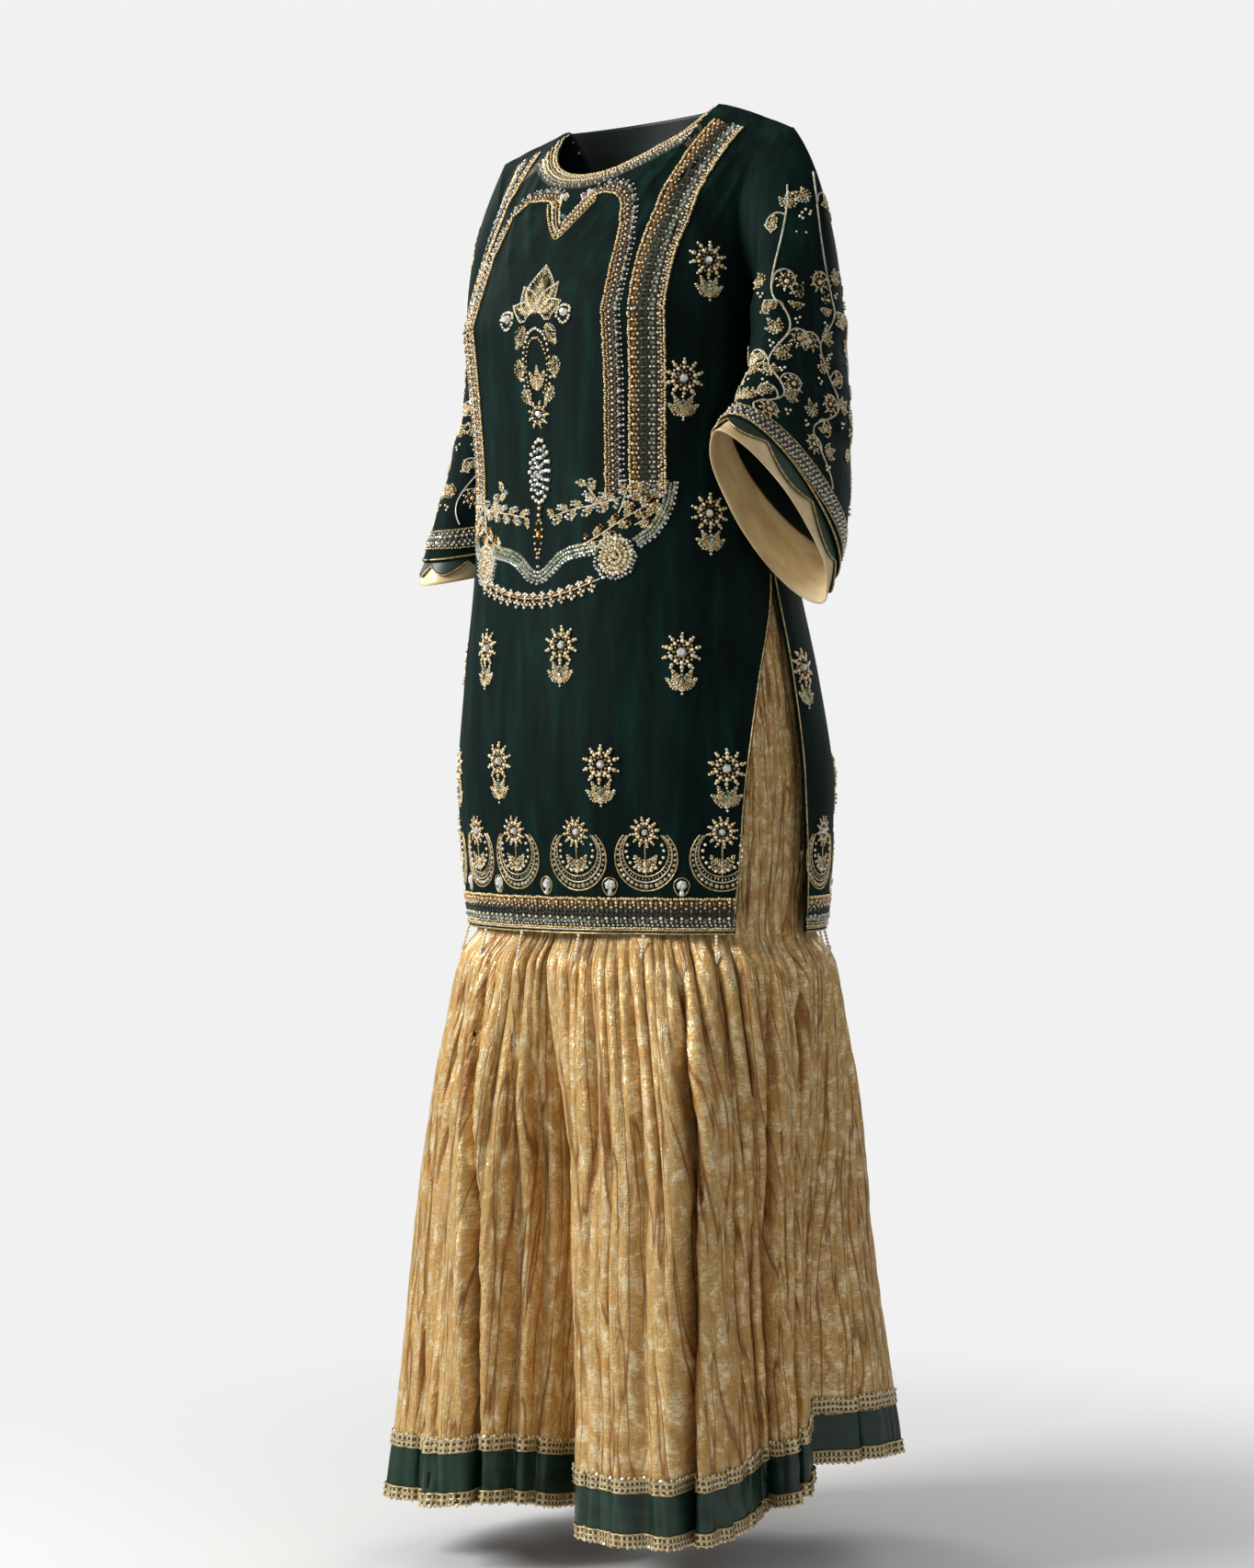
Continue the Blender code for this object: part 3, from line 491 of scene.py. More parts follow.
class Cloth:
    """The form of one cloth, read from a dense grid of its points over (across, down).

    Args:
        form: gives points for grids of across and down.
        across: first and last place across, running to the viewer's right.
        down: first and last place down.
        relief: height in metres that the points are moved out by.
        counts: grid lines across and down.
        closed: whether across runs round and meets itself.
    """

    def __init__(self, form: Callable, across: tuple, down: tuple, relief: Callable | None = None,
                 counts: tuple = (481, 481), closed: bool = False) -> None:
        """Reads the form on its grid."""
        self.across, self.down, self.counts, self.closed = across, down, counts, closed
        u = np.linspace(*across, counts[0])
        v = np.linspace(*down, counts[1])
        grid_u, grid_v = np.meshgrid(u, v)
        points = form(grid_u, grid_v)
        if relief is not None:
            points = points + self.directions(points, u, v)[2] * relief(grid_u, grid_v)[..., None]
        steps = np.linalg.norm(np.diff(points, axis=1), axis=2).mean(axis=0)
        self.shares = np.concatenate([[0.0], np.cumsum(steps) / steps.sum()])
        self.grid = np.concatenate([points, *self.directions(points, u, v)], axis=2)

    def directions(self, points: Array, u: Array, v: Array) -> tuple:
        """Steps across and down, and outward normals, of a grid of points.

        Args:
            points: grid of points.
            u: grid's places across.
            v: grid's places down.

        Returns:
            Steps across, steps down, normals.
        """
        if self.closed:
            padded = np.concatenate([points[:, -2:-1], points, points[:, 1:2]], axis=1)
            along_u = (padded[:, 2:] - padded[:, :-2]) / (2 * (u[1] - u[0]))
        else:
            along_u = np.gradient(points, u, axis=1)
        along_v = np.gradient(points, v, axis=0)
        return along_u, along_v, unit(np.cross(along_v, along_u))

    def sample(self, u: Array, v: Array) -> Array:
        """Point, steps and normal at each place, as rows of twelve numbers.

        Args:
            u: places across.
            v: places down.

        Returns:
            The rows.
        """
        if self.closed:
            u = self.across[0] + (u - self.across[0]) % (self.across[1] - self.across[0])
        places = []
        for value, ends, count in ((u, self.across, self.counts[0]), (v, self.down, self.counts[1])):
            place = np.clip((value - ends[0]) / (ends[1] - ends[0]) * (count - 1), 0.0, count - 1.000001)
            places.append(place)
        column, row = places
        left, top = column.astype(int), row.astype(int)
        x, y = (column - left)[..., None], (row - top)[..., None]
        grid = self.grid
        upper = grid[top, left] * (1 - x) + grid[top, left + 1] * x
        lower = grid[top + 1, left] * (1 - x) + grid[top + 1, left + 1] * x
        return upper * (1 - y) + lower * y

    def size(self) -> tuple:
        """Its width at half its length, and its length at a quarter of its width.

        Returns:
            Width and length in metres.
        """
        points = self.grid[..., :3]
        width = np.linalg.norm(np.diff(points[self.counts[1] // 2], axis=0), axis=1).sum()
        length = np.linalg.norm(np.diff(points[:, self.counts[0] // 4], axis=0), axis=1).sum()
        return width, length

    def frames(self, u: Array, v: Array) -> tuple:
        """Point, right, up and outward directions at each place.

        Args:
            u: places across.
            v: places down.

        Returns:
            Points and the three directions.
        """
        found = self.sample(u, v)
        normal = unit(found[..., 9:12])
        right = unit(found[..., 3:6])
        return found[..., 0:3], right, np.cross(normal, right), normal

    def shift(self, u: Array, v: Array, move: Array) -> tuple:
        """Places reached by small moves in metres along the cloth.

        Args:
            u: places across.
            v: places down.
            move: moves in metres.

        Returns:
            The new places across and down.
        """
        found = self.sample(u, v)
        step_u, step_v = found[..., 3:6], found[..., 6:9]
        uu, uv, vv = ((a * b).sum(-1) for a, b in ((step_u, step_u), (step_u, step_v), (step_v, step_v)))
        mu, mv = (step_u * move).sum(-1), (step_v * move).sum(-1)
        scale = np.maximum(uu * vv - uv * uv, 0.04 * uu * vv + 1e-14)
        return u + (vv * mu - uv * mv) / scale, v + (uu * mv - uv * mu) / scale

    def spot(self, u: float, v: float, a: Array, b: Array, turn: float = 0.0, steps: int = 3) -> tuple:
        """Places that lie a metres right and b metres up of (u, v), the pair first turned by some radians.

        Args:
            u: place across.
            v: place down.
            a: metres to the right.
            b: metres up.
            turn: turn in radians.
            steps: moves that the way is made in.

        Returns:
            The places across and down.
        """
        a, b = np.atleast_1d(np.asarray(a, float)), np.atleast_1d(np.asarray(b, float))
        a, b = np.broadcast_arrays(a, b)
        a, b = a * math.cos(turn) - b * math.sin(turn), a * math.sin(turn) + b * math.cos(turn)
        places_u, places_v = np.full(a.shape, float(u)), np.full(a.shape, float(v))
        for _ in range(steps):
            _, right, up, _ = self.frames(places_u, places_v)
            move = (right * a[..., None] + up * b[..., None]) / steps
            places_u, places_v = self.shift(places_u, places_v, move)
        return places_u, places_v

    def near(self, u: float, v: float, a: float, b: float, turn: float = 0.0) -> tuple:
        """The one place that lies a metres right and b metres up of (u, v), turned as in spot."""
        places_u, places_v = self.spot(u, v, a, b, turn)
        return float(places_u[0]), float(places_v[0])

    def path(self, controls: Sequence, curved: bool = True) -> Path:
        """A line over the cloth through controls, pairs of (across, down).

        Args:
            controls: places that the line runs through.
            curved: whether it is smooth there.

        Returns:
            The line.
        """
        points = np.array(controls, float)
        count = len(points)
        places = np.linspace(0.0, count - 1.0, max(2, 24 * (count - 1) + 1))
        keys = np.arange(count, dtype=float)
        if curved and count > 2:
            slopes = np.gradient(points, axis=0)
            index = np.clip(places.astype(int), 0, count - 2)
            t = (places - index)[:, None]
            line = ((2 * t**3 - 3 * t**2 + 1) * points[index] + (t**3 - 2 * t**2 + t) * slopes[index]
                    + (3 * t**2 - 2 * t**3) * points[index + 1] + (t**3 - t**2) * slopes[index + 1])
        else:
            line = np.column_stack([np.interp(places, keys, points[:, axis]) for axis in (0, 1)])
        return Path(self, line[:, 0], line[:, 1])


@dataclass
class Path:
    """A line over a cloth."""

    cloth: Cloth
    u: Array
    v: Array

    def places(self, pitch: float, phase: float = 0.0, offset: float = 0.0) -> tuple:
        """Evenly spaced places on the line or beside it.

        Args:
            pitch: distance between neighbours in metres.
            phase: share of a pitch that the first one lies from the start.
            offset: metres to the left of the way the line runs.

        Returns:
            Across, down and the line's direction in radians at each place.
        """
        points = self.cloth.sample(self.u, self.v)[:, :3]
        lengths = np.concatenate([[0.0], np.cumsum(np.linalg.norm(np.diff(points, axis=0), axis=1))])
        wanted = np.arange(phase * pitch, lengths[-1] + 1e-9, pitch)
        u, v = np.interp(wanted, lengths, self.u), np.interp(wanted, lengths, self.v)
        ahead = unit(np.gradient(points, axis=0))
        ahead = unit(np.stack([np.interp(wanted, lengths, ahead[:, axis]) for axis in range(3)], axis=1))
        _, right, up, normal = self.cloth.frames(u, v)
        direction = np.arctan2((ahead * up).sum(1), (ahead * right).sum(1))
        if offset:
            points = self.cloth.sample(u, v)[:, :3]
            u, v = self.cloth.shift(u, v, np.cross(normal, ahead) * offset)
            moved = np.linalg.norm(self.cloth.sample(u, v)[:, :3] - points, axis=1)
            near = moved < 1.5 * abs(offset) + MM
            u, v, direction = u[near], v[near], direction[near]
        return u, v, direction


# ---------------------------------------------------------------- materials

def linear(colour: str) -> tuple:
    """Linear red, green, blue and alpha of an sRGB hex colour."""
    parts = [int(colour[index:index + 2], 16) / 255.0 for index in (1, 3, 5)]
    return (*(part / 12.92 if part <= 0.04045 else ((part + 0.055) / 1.055) ** 2.4 for part in parts), 1.0)


def add(tree: Tree, kind: str, settings: dict | None = None, links: dict | None = None) -> Node:
    """Adds a shader node.

    Args:
        tree: node tree.
        kind: node type without its ShaderNode prefix.
        settings: values of the node's own properties, in lower case, and of its sockets by name or index.
        links: output sockets to link to its inputs, by name or index.

    Returns:
        The node.
    """
    made = tree.nodes.new("ShaderNode" + kind)
    for key, value in (settings or {}).items():
        if isinstance(key, str) and key[0].islower():
            setattr(made, key, value)
        else:
            made.inputs[key].default_value = value
    for key, source in (links or {}).items():
        tree.links.new(source, made.inputs[key])
    return made


def ramp(tree: Tree, source: Socket, stops: Sequence) -> Socket:
    """Colours or greys from a factor, by (place, hex colour) stops.

    Args:
        tree: the material's node tree.
        source: the factor.
        stops: places and colours.

    Returns:
        The colour.
    """
    made = add(tree, "ValToRGB", links={"Fac": source})
    elements = made.color_ramp.elements
    while len(elements) < len(stops):
        elements.new(0.5)
    for element, (place, colour) in zip(elements, stops):
        element.position = place
        element.color = linear(colour)
    return made.outputs["Color"]


def grain(tree: Tree, place: Socket, scale: tuple, detail: float = 2.0,
          rough: float = 0.5, warp: float = 0.0) -> Socket:
    """Noise whose grain is 1 / scale metres along each axis of a coordinate."""
    mapped = add(tree, "Mapping", {"Scale": scale}, {"Vector": place})
    settings = {"Scale": 1.0, "Detail": detail, "Roughness": rough, "Distortion": warp}
    return add(tree, "TexNoise", settings, {"Vector": mapped.outputs[0]}).outputs["Fac"]


class Finish:
    """A finish that makes its material once."""

    name: str

    def material(self) -> bpy.types.Material:
        """The finish's material, made on first use.

        Returns:
            The material.
        """
        found = bpy.data.materials.get(self.name)
        if found is None:
            found = bpy.data.materials.new(self.name)
            found.use_nodes = True
            self.build(found.node_tree, found.node_tree.nodes["Principled BSDF"])
        return found

    def build(self, tree: Tree, shader: Node) -> None:
        """Sets the shader and adds its patterns."""
        raise NotImplementedError


def dress(tree: Tree, shader: Node, colour: Socket, height: Socket, strength: float, depth: float) -> None:
    """Links a colour and a relief to the shader."""
    bump = add(tree, "Bump", {"Strength": strength, "Distance": depth}, {"Height": height})
    tree.links.new(colour, shader.inputs["Base Color"])
    tree.links.new(bump.outputs[0], shader.inputs["Normal"])


def set_shader(shader: Node, **values: float | tuple) -> None:
    """Sets constants on the shader's own sockets, spaces written as underscores."""
    for key, value in values.items():
        shader.inputs[key.replace("_", " ")].default_value = value


@dataclass(frozen=True)
class Velvet(Finish):
    """Cotton velvet, cut pile: dark where it is seen straight, a soft green bloom where it turns away, with
    random lighter strokes of painted highlight where the nap was brushed."""

    name: str = "bottle_green_cotton_velvet"
    deep: str = "#04100e"
    body: str = "#071b18"
    # painted highlight: colour of the lighter random strokes
    painted_highlight: str = "#0e3029"
    sheen: str = "#1f6e5b"

    def build(self, tree: Tree, shader: Node) -> None:
        """Strokes of painted highlight 40 mm long, pile 1.2 mm apart, drawn at twice its size so that it
        shows.

        Args:
            tree: the material's node tree.
            shader: its main shader.
        """
        place = add(tree, "TexCoord").outputs["Object"]
        highlight_strokes = grain(tree, place, (60.0, 60.0, 10.0), 3.0, 0.5, 0.4)
        # the lighter end of this ramp is painted highlight, laid in random strokes
        colour = ramp(tree, highlight_strokes, ((0.3, self.deep), (0.55, self.body), (0.85, self.painted_highlight)))
        pile = grain(tree, place, (800.0, 800.0, 800.0), 2.0, 0.6)
        dress(tree, shader, colour, pile, 0.35, 0.0006)
        set_shader(shader, Roughness=0.7, Specular_IOR_Level=0.07, Sheen_Weight=0.16, Sheen_Roughness=0.28,
                   Sheen_Tint=linear(self.sheen))


@dataclass(frozen=True)
class Tissue(Finish):
    """Crushed tissue, silk warp and flat gilt weft: small crinkles run down the cloth, with painted shade
    laid brown along their crease lines and random patches of painted highlight and painted glint."""

    name: str = "crushed_gold_tissue"
    # painted shade: brown laid along the thin crease lines
    crease_shade: str = "#8e5c28"
    body: str = "#bf9350"
    # the light and glint colours are painted highlight and painted glint, laid in random patches
    light: str = "#d3ae70"
    painted_glint: str = "#f6e4b8"

    def build(self, tree: Tree, shader: Node) -> None:
        """Creases 16 mm apart, crinkles 5 mm apart, and a 0.4 mm weft drawn at three times its size.

        Args:
            tree: the material's node tree.
            shader: its main shader.
        """
        place = add(tree, "TexCoord").outputs["UV"]
        fold = self.ridges(tree, grain(tree, place, (74.0, 4.5, 1.0), 2.0, 0.5, 0.35))
        fine = self.ridges(tree, grain(tree, place, (210.0, 34.0, 1.0), 3.0, 0.65, 1.4))
        weft = grain(tree, place, (260.0, 900.0, 1.0), 2.0, 0.6)
        patch = grain(tree, place, (110.0, 70.0, 1.0), 4.0, 0.68, 0.7)
        creased = add(tree, "Math", {"operation": "MULTIPLY_ADD", 1: 0.6}, {0: fine, 2: fold}).outputs[0]
        glint_mottle = add(tree, "Math", {"operation": "MULTIPLY_ADD", 1: 0.55}, {0: weft, 2: patch}).outputs[0]
        # random patches of painted highlight and painted glint over the base colour
        cloth = ramp(tree, glint_mottle, ((0.62, self.body), (0.8, self.light), (0.93, self.painted_glint)))
        # mask of the thin crease lines, where painted shade is laid
        depth = ramp(tree, fold, ((0.0, "#000000"), (0.03, "#ffffff")))
        colour = add(tree, "Mix", {"data_type": "RGBA", 6: linear(self.crease_shade)}, {0: depth, 7: cloth})
        relief = add(tree, "Math", {"operation": "MULTIPLY_ADD", 1: 0.05}, {0: weft, 2: creased}).outputs[0]
        gloss = ramp(tree, glint_mottle, ((0.68, "#c8c8c8"), (0.8, "#a8a8a8"), (0.92, "#808080")))
        dress(tree, shader, colour.outputs[2], relief, 0.9, 0.006)
        tree.links.new(gloss, shader.inputs["Roughness"])
        set_shader(shader, Metallic=0.3, Specular_IOR_Level=0.5)

    def ridges(self, tree: Tree, noise: Socket) -> Socket:
        """Noise folded at its middle: rounded ridges that meet in sharp valleys."""
        off = add(tree, "Math", {"operation": "SUBTRACT", 1: 0.5}, {0: noise}).outputs[0]
        return add(tree, "Math", {"operation": "ABSOLUTE"}, {0: off}).outputs[0]


@dataclass(frozen=True)
class Satin(Finish):
    """Polyester satin, long floats: a smooth sheen that follows the folds, faint lines along the weft."""

    name: str = "dark_green_satin"
    body: str = "#10271c"
    light: str = "#193829"
    roughness: float = 0.4

    def build(self, tree: Tree, shader: Node) -> None:
        """Float lines 1 mm apart, coarser than the real 0.2 mm so that they show.

        Args:
            tree: the material's node tree.
            shader: its main shader.
        """
        place = add(tree, "TexCoord").outputs["UV"]
        tone = grain(tree, place, (22.0, 60.0, 1.0), 2.0, 0.5, 0.5)
        colour = ramp(tree, tone, ((0.35, self.body), (0.7, self.light)))
        floats = grain(tree, place, (40.0, 900.0, 1.0), 2.0, 0.5)
        dress(tree, shader, colour, floats, 0.18, 0.0004)
        set_shader(shader, Roughness=self.roughness, Specular_IOR_Level=0.5, Anisotropic=0.5)


@dataclass(frozen=True)
class Gota(Finish):
    """Gota lace, flat gilt strip woven on a net: pale gold lines with dark gaps between the bars."""

    name: str = "pale_gold_gota_lace"
    bar: str = "#d9c79d"
    gap: str = "#4c4431"
    bars: float = 230.0

    def build(self, tree: Tree, shader: Node) -> None:
        """Bars 4.3 mm apart across the strip, and three solid lines along it.

        Args:
            tree: the material's node tree.
            shader: its main shader.
        """
        place = add(tree, "TexCoord").outputs["UV"]
        parts = add(tree, "SeparateXYZ", links={0: place})
        bars = add(tree, "Math", {"operation": "SINE"},
                   {0: add(tree, "Math", {"operation": "MULTIPLY", 1: self.bars * math.tau},
                           {0: parts.outputs[0]}).outputs[0]})
        lines = add(tree, "Math", {"operation": "COSINE"},
                    {0: add(tree, "Math", {"operation": "MULTIPLY", 1: 2.0 * math.tau / LACE_HEIGHT},
                            {0: parts.outputs[1]}).outputs[0]})
        solid = add(tree, "Math", {"operation": "MAXIMUM"}, {0: bars.outputs[0], 1: lines.outputs[0]})
        colour = ramp(tree, solid.outputs[0], ((0.15, self.gap), (0.42, self.bar)))
        dress(tree, shader, colour, solid.outputs[0], 0.5, 0.0006)
        set_shader(shader, Roughness=0.38, Metallic=0.35)


@dataclass(frozen=True)
class Ground(Finish):
    """Metal thread laid over velvet, the filling of the bands: dark with short dull gold stitches."""

    name: str = "antique_gilt_thread_filling"
    dark: str = "#10160f"
    stitch: str = "#65593c"

    def build(self, tree: Tree, shader: Node) -> None:
        """Stitches 1.5 mm long and 0.6 mm wide.

        Args:
            tree: the material's node tree.
            shader: its main shader.
        """
        place = add(tree, "TexCoord").outputs["UV"]
        stitches = grain(tree, place, (1500.0, 600.0, 1.0), 1.0, 0.5)
        colour = ramp(tree, stitches, ((0.47, self.dark), (0.62, self.stitch)))
        dress(tree, shader, colour, stitches, 0.6, 0.0006)
        set_shader(shader, Roughness=0.5, Metallic=0.25)


@dataclass(frozen=True)
class Jewel(Finish):
    """Beads, metal threads and foil-backed stones. The tone drifts from bead to bead, because each lot is
    dyed or plated by hand.

    Args:
        name: what it is made of.
        body: its main colour.
        other: the colour that some beads drift to.
        metallic: share of metal.
        roughness: gloss of its surface.
        coat: clear layer over it.
    """

    name: str
    body: str
    other: str
    metallic: float = 0.0
    roughness: float = 0.3
    coat: float = 0.0

    def build(self, tree: Tree, shader: Node) -> None:
        """Tone changes every 4 mm, the width of about two beads.

        Args:
            tree: the material's node tree.
            shader: its main shader.
        """
        place = add(tree, "TexCoord").outputs["Object"]
        drift = grain(tree, place, (260.0, 260.0, 260.0), 1.0, 0.5)
        colour = ramp(tree, drift, ((0.38, self.other), (0.6, self.body)))
        tree.links.new(colour, shader.inputs["Base Color"])
        set_shader(shader, Metallic=self.metallic, Roughness=self.roughness, Coat_Weight=self.coat,
                   Coat_Roughness=0.08)


VELVET_FINISH = Velvet()
TISSUE_FINISH = Tissue()
GREEN_SATIN = Satin()
GREEN_LINING = Satin("green_lining_satin", "#0b1613", "#10201c", 0.5)
BEIGE_SATIN = Satin("beige_satin_lining", "#d8bb89", "#f0dcb0", 0.34)
WAIST_COTTON = Satin("beige_waistband_cotton", "#b39663", "#c7ab78", 0.7)
GOTA_FINISH = Gota()
GROUND = Ground()


class Shape(Enum):
    """Shapes of what is sewn on."""

    ROUND = "round"
    SEED = "seed"
    GEM = "gem"
    STICK = "stick"
    DISC = "disc"


class Bead(Enum):
    """What is sewn on: its shape and finish."""

    GOLD = (Shape.ROUND, Jewel("gilt_glass_bead", "#f0dcaa", "#cdaa6c", 0.4, 0.3))
    PEARL = (Shape.ROUND, Jewel("cream_glass_pearl", "#fbf3dc", "#e9d8b2", 0.0, 0.25, 0.5))
    BRONZE = (Shape.ROUND, Jewel("bronze_glass_bead", "#b98c52", "#7f5a33", 0.5, 0.3))
    AMBER = (Shape.GEM, Jewel("amber_foiled_stone", "#dc9c40", "#a86a26", 0.3, 0.16, 0.8))
    CLEAR = (Shape.GEM, Jewel("clear_foiled_crystal", "#f8f8f3", "#cfd2cd", 0.25, 0.12, 0.6))
    GREEN = (Shape.GEM, Jewel("sea_green_foiled_crystal", "#a8b9a8", "#56705f", 0.45, 0.12, 0.8))
    LILAC = (Shape.GEM, Jewel("lilac_foiled_crystal", "#b5b1c4", "#63607f", 0.4, 0.12, 0.8))
    STICK = (Shape.STICK, Jewel("champagne_bugle_bead", "#dccfa9", "#ab976b", 0.3, 0.36))
    OLIVE = (Shape.STICK, Jewel("antique_gilt_bugle_bead", "#9a8d5f", "#5f5637", 0.4, 0.4))
    JET = (Shape.ROUND, Jewel("dark_green_glass_bead", "#0e1a17", "#1c2b28", 0.0, 0.25))
    SEQUIN = (Shape.DISC, Jewel("iridescent_sequin", "#c9cbb4", "#7f8b79", 0.4, 0.22))
    DISC = (Shape.DISC, Jewel("pale_gold_sequin", "#ece0bf", "#b7a47a", 0.45, 0.25))


class Thread(Enum):
    """Cords and threads couched on the cloth."""

    GILT = Jewel("gilt_purl_cord", "#dcc48e", "#a88d5a", 0.5, 0.34)
    CREAM = Jewel("cream_silk_cord", "#d8cfba", "#b0a58e", 0.25, 0.42)


# ---------------------------------------------------------------- mesh helpers

def object_of(name: str, mesh: Mesh, finishes: Sequence[Finish]) -> Object:
    """Puts a mesh in the scene with its materials.

    Args:
        name: its name.
        mesh: its mesh.
        finishes: its materials.

    Returns:
        The object.
    """
    mesh.name = name
    for finish in finishes:
        mesh.materials.append(finish.material())
    made = bpy.data.objects.new(name, mesh)
    bpy.context.scene.collection.objects.link(made)
    return made


def cloth_mesh(name: str, cloth: Cloth, cells: tuple, lift: float = 0.0,
               unused: Callable | None = None) -> Mesh:
    """Lays a grid on a cloth's form, closed where it meets itself, with its UV map in metres.

    Args:
        name: mesh's name.
        cloth: its form.
        cells: grid cells across and down.
        lift: metres that it lies above the form.
        unused: tells for places (across, down) which faces are left out.

    Returns:
        The mesh.
    """
    bm = bmesh.new()
    bm.loops.layers.uv.new("UVMap")
    bmesh.ops.create_grid(bm, x_segments=cells[0], y_segments=cells[1], size=0.5, calc_uvs=True)
    mesh = bpy.data.meshes.new(name)
    bm.to_mesh(mesh)
    bm.free()
    flat = np.empty(len(mesh.vertices) * 3, np.float32)
    mesh.vertices.foreach_get("co", flat)
    flat = flat.reshape(-1, 3).astype(float)
    u = cloth.across[0] + (cloth.across[1] - cloth.across[0]) * (flat[:, 0] + 0.5)
    v = cloth.down[0] + (cloth.down[1] - cloth.down[0]) * (0.5 - flat[:, 1])
    found = cloth.sample(u, v)
    points = found[:, :3] + unit(found[:, 9:12]) * lift
    mesh.vertices.foreach_set("co", points.astype(np.float32).ravel())
    width, length = cloth.size()
    uv = np.empty(len(mesh.loops) * 2, np.float32)
    mesh.uv_layers[0].data.foreach_get("uv", uv)
    uv = uv.reshape(-1, 2)
    share = np.interp(uv[:, 0], np.linspace(0.0, 1.0, cloth.counts[0]), cloth.shares)
    uv = np.column_stack([share * width, uv[:, 1] * length]).astype(np.float32)
    mesh.uv_layers[0].data.foreach_set("uv", uv.ravel())
    bm = bmesh.new()
    bm.from_mesh(mesh)
    if unused is not None:
        left_out = [face for face in bm.faces
                    if unused(*(sum(values[vert.index] for vert in face.verts) / 4.0 for values in (u, v)))]
        bmesh.ops.delete(bm, geom=left_out, context="FACES")
    if cloth.closed:
        bmesh.ops.remove_doubles(bm, verts=bm.verts, dist=1e-5)
    bm.to_mesh(mesh)
    bm.free()
    mesh.shade_smooth()
    return mesh


def cloth_object(name: str, cloth: Cloth, cells: tuple, finishes: Sequence[Finish], thickness: float = 0.0,
                 lift: float = 0.0, unused: Callable | None = None) -> Object:
    """Makes one cloth with its thickness outside its form.

    Args:
        name: piece's name.
        cloth: its form.
        cells: grid cells across and down.
        finishes: outer material, and inner one where it differs.
        thickness: of the wall, 0 for a single layer.
        lift: metres that the inner face lies above the form.
        unused: tells for places (across, down) which faces are left out.

    Returns:
        The object.
    """
    made = object_of(name, cloth_mesh(name, cloth, cells, lift, unused), finishes)
    if thickness:
        wall = made.modifiers.new("wall", "SOLIDIFY")
        wall.thickness = thickness
        wall.offset = 1.0
        wall.material_offset = len(finishes) - 1
    return made


def ribbon(cloth: Cloth, path: Path, low: float, high: float, lift: float) -> Cloth:
    """The form of a strip that lies along a line on a cloth, between two distances to its left.

    Args:
        cloth: what it lies on.
        path: the line.
        low: distance of one edge.
        high: distance of the other.
        lift: metres above the cloth.

    Returns:
        The strip's form.
    """
    u, v, _ = path.places(0.002)
    count = len(u)
    index = np.arange(count)

    def form(along: Array, across: Array) -> Array:
        """Points of the strip, at places along it and at distances across it.

        Args:
            along: places along it.
            across: places across.

        Returns:
            The points.
        """
        places_u, places_v = np.interp(along, index, u), np.interp(along, index, v)
        step_u, step_v = (np.interp(along + 0.5, index, line) - np.interp(along - 0.5, index, line)
                          for line in (u, v))
        found = cloth.sample(places_u, places_v)
        ahead = unit(found[..., 3:6] * step_u[..., None] + found[..., 6:9] * step_v[..., None])
        left = np.cross(unit(found[..., 9:12]), ahead)
        places = cloth.shift(places_u, places_v, left * -across[..., None])
        point, _, _, normal = cloth.frames(*places)
        return point + normal * lift

    return Cloth(form, (0.0, count - 1.0), (-high, -low), counts=(count, 9))


def stamp(shape: Shape) -> Mesh:
    """The mesh of one bead, 1 across, made on first use.

    Args:
        shape: the bead's shape.

    Returns:
        The mesh.
    """
    name = "stamp_" + shape.value
    found = bpy.data.meshes.get(name)
    if found:
        return found
    bm = bmesh.new()
    if shape is Shape.ROUND:
        bmesh.ops.create_icosphere(bm, subdivisions=1, radius=0.5)
    elif shape in (Shape.SEED, Shape.STICK):
        bmesh.ops.create_uvsphere(bm, u_segments=4, v_segments=2, radius=0.56)
    elif shape is Shape.GEM:
        bmesh.ops.create_cone(bm, cap_ends=True, segments=6, radius1=0.5, radius2=0.27, depth=1.0)
    else:
        bmesh.ops.create_cone(bm, cap_ends=True, segments=5, radius1=0.5, radius2=0.2, depth=1.0)
    bmesh.ops.triangulate(bm, faces=bm.faces)
    mesh = bpy.data.meshes.new(name)
    bm.to_mesh(mesh)
    bm.free()
    return mesh


def strewn(shape: Shape, centres: Array, axes: Array) -> Mesh:
    """Copies of one bead joined in a mesh, from their centres and their three scaled axes as columns.

    Args:
        shape: the bead's shape.
        centres: their middles.
        axes: their scaled axes.

    Returns:
        The mesh.
    """
    source = stamp(shape)
    corners = np.empty(len(source.vertices) * 3, np.float32)
    source.vertices.foreach_get("co", corners)
    corners = corners.reshape(-1, 3)
    loops = np.empty(len(source.loops), np.int32)
    source.loops.foreach_get("vertex_index", loops)
    count = len(centres)
    points = centres[:, None, :] + np.einsum("nij,vj->nvi", axes, corners)
    indices = loops[None, :] + (np.arange(count) * len(corners))[:, None]
    mesh = bpy.data.meshes.new("strewn")
    mesh.vertices.add(count * len(corners))
    mesh.vertices.foreach_set("co", points.astype(np.float32).ravel())
    mesh.loops.add(indices.size)
    mesh.loops.foreach_set("vertex_index", indices.astype(np.int32).ravel())
    mesh.polygons.add(indices.size // 3)
    mesh.polygons.foreach_set("loop_start", np.arange(0, indices.size, 3, dtype=np.int32))
    mesh.update(calc_edges=True)
    mesh.polygons.foreach_set("use_smooth", np.full(len(mesh.polygons), shape in (Shape.ROUND, Shape.SEED)))
    return mesh


